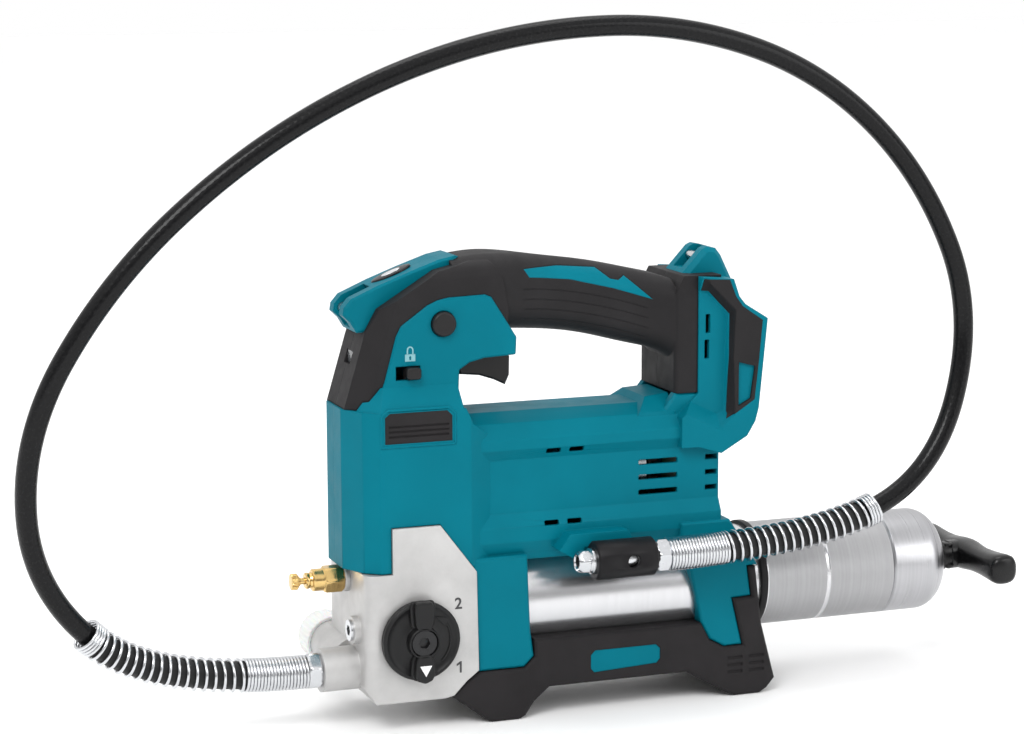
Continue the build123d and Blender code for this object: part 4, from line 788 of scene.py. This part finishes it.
# ---------------------------------------------------------------- pressure dial
disc_profile = [
    (-19.0, 0.3), (-19.0, 5.0), (-35.9, 5.0), (-35.9, 20.8), (-36.3, 21.2), (-39.7, 21.2), (-40.5, 20.5),
    (-40.5, 19.4), (-39.6, 18.2), (-39.0, 16.0), (-39.0, 11.5), (-40.0, 8.8), (-44.4, 8.4), (-45.0, 7.9),
    (-45.0, 7.5), (-41.0, 7.4), (-41.0, 0.3),
]
finish_piece(lathe("pressure_dial_disc", disc_profile, "Y", DIAL_AXIS, 144), "dial", "dial_black",
             ["pressure_dial", "dial_spindle"])
GRIP_TOP_Y, SKIRT_TOP_Y, GRIP_FOOT_Y = -45.0, -41.6, -38.5
upper_grip = [(DIAL_X - 4.4, 72.0), (DIAL_X + 4.6, 72.0), (DIAL_X + 5.4, 69.0), (DIAL_X + 4.9, 60.0),
              (DIAL_X + 3.6, 56.6), (DIAL_X - 3.4, 56.6), (DIAL_X - 4.7, 60.0), (DIAL_X - 5.2, 69.0)]
lower_grip = [(DIAL_X - 3.4, 43.8), (DIAL_X + 3.6, 43.8), (DIAL_X + 5.0, 40.0), (DIAL_X + 5.6, 32.4),
              (DIAL_X + 4.4, 29.6), (DIAL_X + 0.4, 28.0), (DIAL_X - 3.8, 29.6), (DIAL_X - 5.0, 32.4),
              (DIAL_X - 4.6, 40.0)]
for name, outline in (("upper", upper_grip), ("lower", lower_grip)):
    grip = prism(f"dial_grip_{name}", outline, GRIP_TOP_Y, GRIP_FOOT_Y, edge=1.1)
    finish_piece(grip, "dial", "dial_black")
    middle_z = sum(z for _, z in outline) / len(outline)
    skirt = [(DIAL_X + (x - DIAL_X) * 1.36, middle_z + (z - middle_z) * 1.02) for x, z in outline]
    foot = prism(f"dial_skirt_{name}", skirt, SKIRT_TOP_Y, GRIP_FOOT_Y, edge=1.2)
    finish_piece(foot, "dial", "dial_black")
triangle = [(DIAL_X - 2.9, 38.0), (DIAL_X + 3.7, 38.0), (DIAL_X + 0.4, 32.2)]
finish_piece(prism("dial_pointer", triangle, GRIP_TOP_Y - 0.25, GRIP_TOP_Y + 0.2),
             "dial", "dial_black", material=PAINT_WHITE)
arrow_head = [(DIAL_X + 7.4, 62.6), (DIAL_X + 16.0, 61.6), (DIAL_X + 13.4, 56.8)]
finish_piece(prism("dial_arrow_head", arrow_head, -39.6, -38.8), "dial", "dial_black")
sweep = [math.radians(-46 + 78 * k / 20) for k in range(21)]
arrow_tail = [(DIAL_X + r * math.cos(t), DIAL_Z + r * math.sin(t))
              for r, order in ((16.6, sweep), (15.6, sweep[::-1])) for t in order]
finish_piece(prism("dial_arrow_tail", arrow_tail, -39.7, -38.9), "dial", "dial_black")
socket_profile = [
    (-42.0, 0.3), (-42.0, 3.3, 2.7), (-44.2, 3.3, 2.7), (-44.4, 3.6, 3.0), (-44.4, 6.7), (-44.1, 7.1),
    (-41.0, 7.3), (-41.0, 2.4), (-32.0, 2.4), (-32.0, 0.3),
]
finish_piece(lathe("dial_screw_socket", socket_profile, "Y", DIAL_AXIS, 96, turn=0.15),
             "dial", "screw_black", ["dial_screw"])


# ---------------------------------------------------------------- figures on the side of the pump head
def printed_text(name, figure, x, z, size):
    """A figure in the built-in font, standing just proud of the pump head's side."""
    text = bpy.data.curves.new(name, "FONT")
    text.body = figure
    text.size = size * MM
    text.extrude = 0.12 * MM
    text.offset = 0.12 * MM
    text.align_x, text.align_y = "CENTER", "CENTER"
    source = new_object(name + "_text", text)
    source.location = Vector((x, HEAD_SIDE_Y - 0.1, z)) * MM
    source.rotation_euler = (math.pi / 2, 0, 0)
    bpy.context.view_layer.update()
    mesh = bpy.data.meshes.new_from_object(source)
    mesh.transform(source.matrix_world)
    mesh.name = name
    bpy.data.objects.remove(source)
    return new_object(name, mesh)


finish_piece(printed_text("figure_two", "2", -125.4, 67.4, 8.6), ROOT, "black_plastic", material=PAINT_GREY)
one_outline = [
    (-124.9, 29.8), (-123.8, 29.8), (-123.8, 36.0), (-124.7, 36.0), (-126.6, 34.7), (-126.6, 33.5),
    (-124.9, 34.5),
]
finish_piece(prism("figure_one", one_outline, HEAD_SIDE_Y - 0.12, HEAD_SIDE_Y + 0.2),
             ROOT, "black_plastic", material=PAINT_GREY)

# ---------------------------------------------------------------- shelf
# It closes the slot in the housing in front of the rear post.
SHELF_HALF_W = 25.1
SHELF_FOOT_Z = 154.0
shelf_stations = [  # x, top height, half width of the top, height where the slope meets the side
    (-19.7, 159.0, 24.9, 158.9), (-17.7, 161.1, 24.8, 161.0), (-10.8, 168.3, 15.8, 161.2),
    (3.4, 169.5, 14.2, 161.2),
]
shelf_points = []
for x, top, half_w, slope_z in shelf_stations:
    right_half = [(half_w, top), (SHELF_HALF_W, slope_z), (SHELF_HALF_W, SHELF_FOOT_Z)]
    section = [(-y, z) for y, z in reversed(right_half)] + right_half
    shelf_points += [Vector((x, y, z)) * MM for y, z in section]
shelf_faces = capped_faces(len(shelf_stations), 6)
finish_piece(mesh_object("rear_shelf", shelf_points, shelf_faces, smooth=False), ROOT, "teal_shell")

# ---------------------------------------------------------------- marks on the housing
LOCK_X, LOCK_Z = -147.9, 203.0      # centre of the shackle's bow
half_turn = [math.radians(180 * k / 12) for k in range(13)]
outer_bow = [(LOCK_X + 1.9 * math.cos(t), LOCK_Z + 2.2 * math.sin(t)) for t in half_turn]
inner_bow = [(LOCK_X + 1.1 * math.cos(t), LOCK_Z + 1.4 * math.sin(t)) for t in reversed(half_turn)]
lock_loop = [(-146.0, 200.8), *outer_bow, (-149.8, 200.8), (-149.0, 200.8), *inner_bow, (-146.8, 200.8)]
lock_case = [(-150.7, 197.2), (-145.1, 197.2), (-145.1, 201.0), (-150.7, 201.0)]
lock_hole = [(-148.3, 198.0), (-147.5, 198.0), (-147.3, 199.6), (-147.9, 200.2), (-148.5, 199.6)]
for name, outline in (("padlock_case", lock_case), ("padlock_loop", lock_loop)):
    finish_piece(prism(name, outline, PANEL_SIDE_Y - 0.12, PANEL_SIDE_Y + 0.1),
                 ROOT, "teal_shell", material=ICON_TEAL)
finish_piece(prism("padlock_hole", lock_hole, PANEL_SIDE_Y - 0.2, PANEL_SIDE_Y), ROOT, "teal_shell")

pad_rim = [
    (-166.2, 153.8), (-166.2, 170.4), (-162.8, 173.2), (-129.6, 173.2), (-126.0, 170.0), (-126.0, 153.8),
]


def loop_points(corners, y):
    """Points in metres about 1 mm apart, round a closed XZ outline given in millimetres."""
    path = []
    for (x0, z0), (x1, z1) in zip(corners, corners[1:] + corners[:1]):
        count = max(1, round(math.hypot(x1 - x0, z1 - z0)))
        for k in range(count):
            path.append(Vector((x0 + (x1 - x0) * k / count, y, z0 + (z1 - z0) * k / count)) * MM)
    return path


for side, name in ((-1, "left"), (1, "right")):
    rim = bead(f"side_pad_rim_{name}", loop_points(pad_rim, side * PAD_RIM_Y), 0.75 * MM)
    finish_piece(rim, ROOT, "teal_shell")

BADGE_CENTRE = Vector((-150.0, 0, 241.0)) * MM
BADGE_ALONG = Vector((49.8, 0, 20.2)).normalized()
BADGE_UP = Vector((-20.2, 0, 49.8)).normalized()


def oval(name, half_length, half_width, low, high, material):
    """An oval plate on the sloping badge plane, with a softened edge."""
    around = 72
    points = []
    for reach, height in ((1.0, low), (1.0, high - 0.15), (0.96, high)):
        for n in range(around):
            angle = 2 * math.pi * n / around
            point = BADGE_CENTRE + BADGE_ALONG * half_length * reach * math.cos(angle) * MM
            point += Vector((0, half_width * reach * math.sin(angle) * MM, 0)) + BADGE_UP * height * MM
            points.append(point)
    piece = mesh_object(name, points, capped_faces(3, around))
    auto_smooth(piece)
    return finish_piece(piece, ROOT, "badge_black", material=material)


oval("badge_face", 10.9, 5.6, -0.5, 0.15, MATERIALS["badge_black"])
oval("badge_mark", 5.4, 2.9, -0.2, 0.4, BADGE_SILVER)


# ---------------------------------------------------------------- light and floor
LIT_POINT = Vector((0, 0, 0.12))


def area_light(name, place, size, power):
    """A white rectangular lamp aimed at the middle of the gun."""
    data = bpy.data.lights.new(name, "AREA")
    data.shape = "RECTANGLE"
    data.size, data.size_y = size
    data.energy = power
    lamp = new_object(name, data)
    lamp.location = place
    lamp.rotation_euler = (LIT_POINT - Vector(place)).to_track_quat("-Z", "Y").to_euler()


area_light("key", (-1.3, -1.5, 2.0), (1.0, 1.0), 34)
area_light("fill", (1.5, -1.7, 0.9), (1.0, 1.4), 13)
area_light("top", (0.2, 0.4, 2.2), (1.4, 1.0), 12)
overcast = bpy.data.lights.new("overcast", "SUN")       # a wide soft sun that keeps the far floor pale
overcast.energy = 0.35
overcast.angle = math.radians(120)
new_object("overcast", overcast).location = (0, 0, 3)

world = bpy.data.worlds.new("studio")
bpy.context.scene.world = world
world.use_nodes = True
surround = world.node_tree


def smooth_range(value, low, high, to_low, to_high):
    """A smooth change from to_low, where value is low, to to_high, where it is high."""
    node = surround.nodes.new("ShaderNodeMapRange")
    node.interpolation_type = "SMOOTHSTEP"
    for socket, number in zip(("From Min", "From Max", "To Min", "To Max"), (low, high, to_low, to_high)):
        node.inputs[socket].default_value = number
    surround.links.new(value, node.inputs["Value"])
    return node.outputs["Result"]


BAND_GLOW = 0.25        # the studio is white all round, but for a darker low band in front of the gun
way = surround.nodes.new("ShaderNodeSeparateXYZ")
surround.links.new(surround.nodes.new("ShaderNodeTexCoord").outputs["Generated"], way.inputs["Vector"])
band = surround.nodes.new("ShaderNodeMath")
band.operation = "MULTIPLY"
surround.links.new(smooth_range(way.outputs["Y"], -0.45, 0.0, 1.0, 0.0), band.inputs[0])
surround.links.new(smooth_range(way.outputs["Z"], 0.15, 0.50, 1.0, 0.0), band.inputs[1])
glow = smooth_range(band.outputs["Value"], 0.0, 1.0, 1.0, BAND_GLOW)
surround.links.new(glow, surround.nodes["Background"].inputs["Color"])

FLOOR_REACH = 9
floor_corners = [(FLOOR_REACH * x, FLOOR_REACH * y, 0) for x, y in ((-1, -1), (1, -1), (1, 1), (-1, 1))]
floor = mesh_object("floor", floor_corners, [(0, 1, 2, 3)])
floor.location.z = -0.0002       # just clear of the feet
pale = Shader("pale_floor", (0.93, 0.93, 0.93), 0.7, Specular_IOR_Level=0.1)
pale.tint(pale.noise(3.0, 3.0), (0.94, 0.94, 0.94), (0.92, 0.92, 0.92))
floor.data.materials.append(pale.material)

bpy.context.scene.view_settings.view_transform = "Standard"
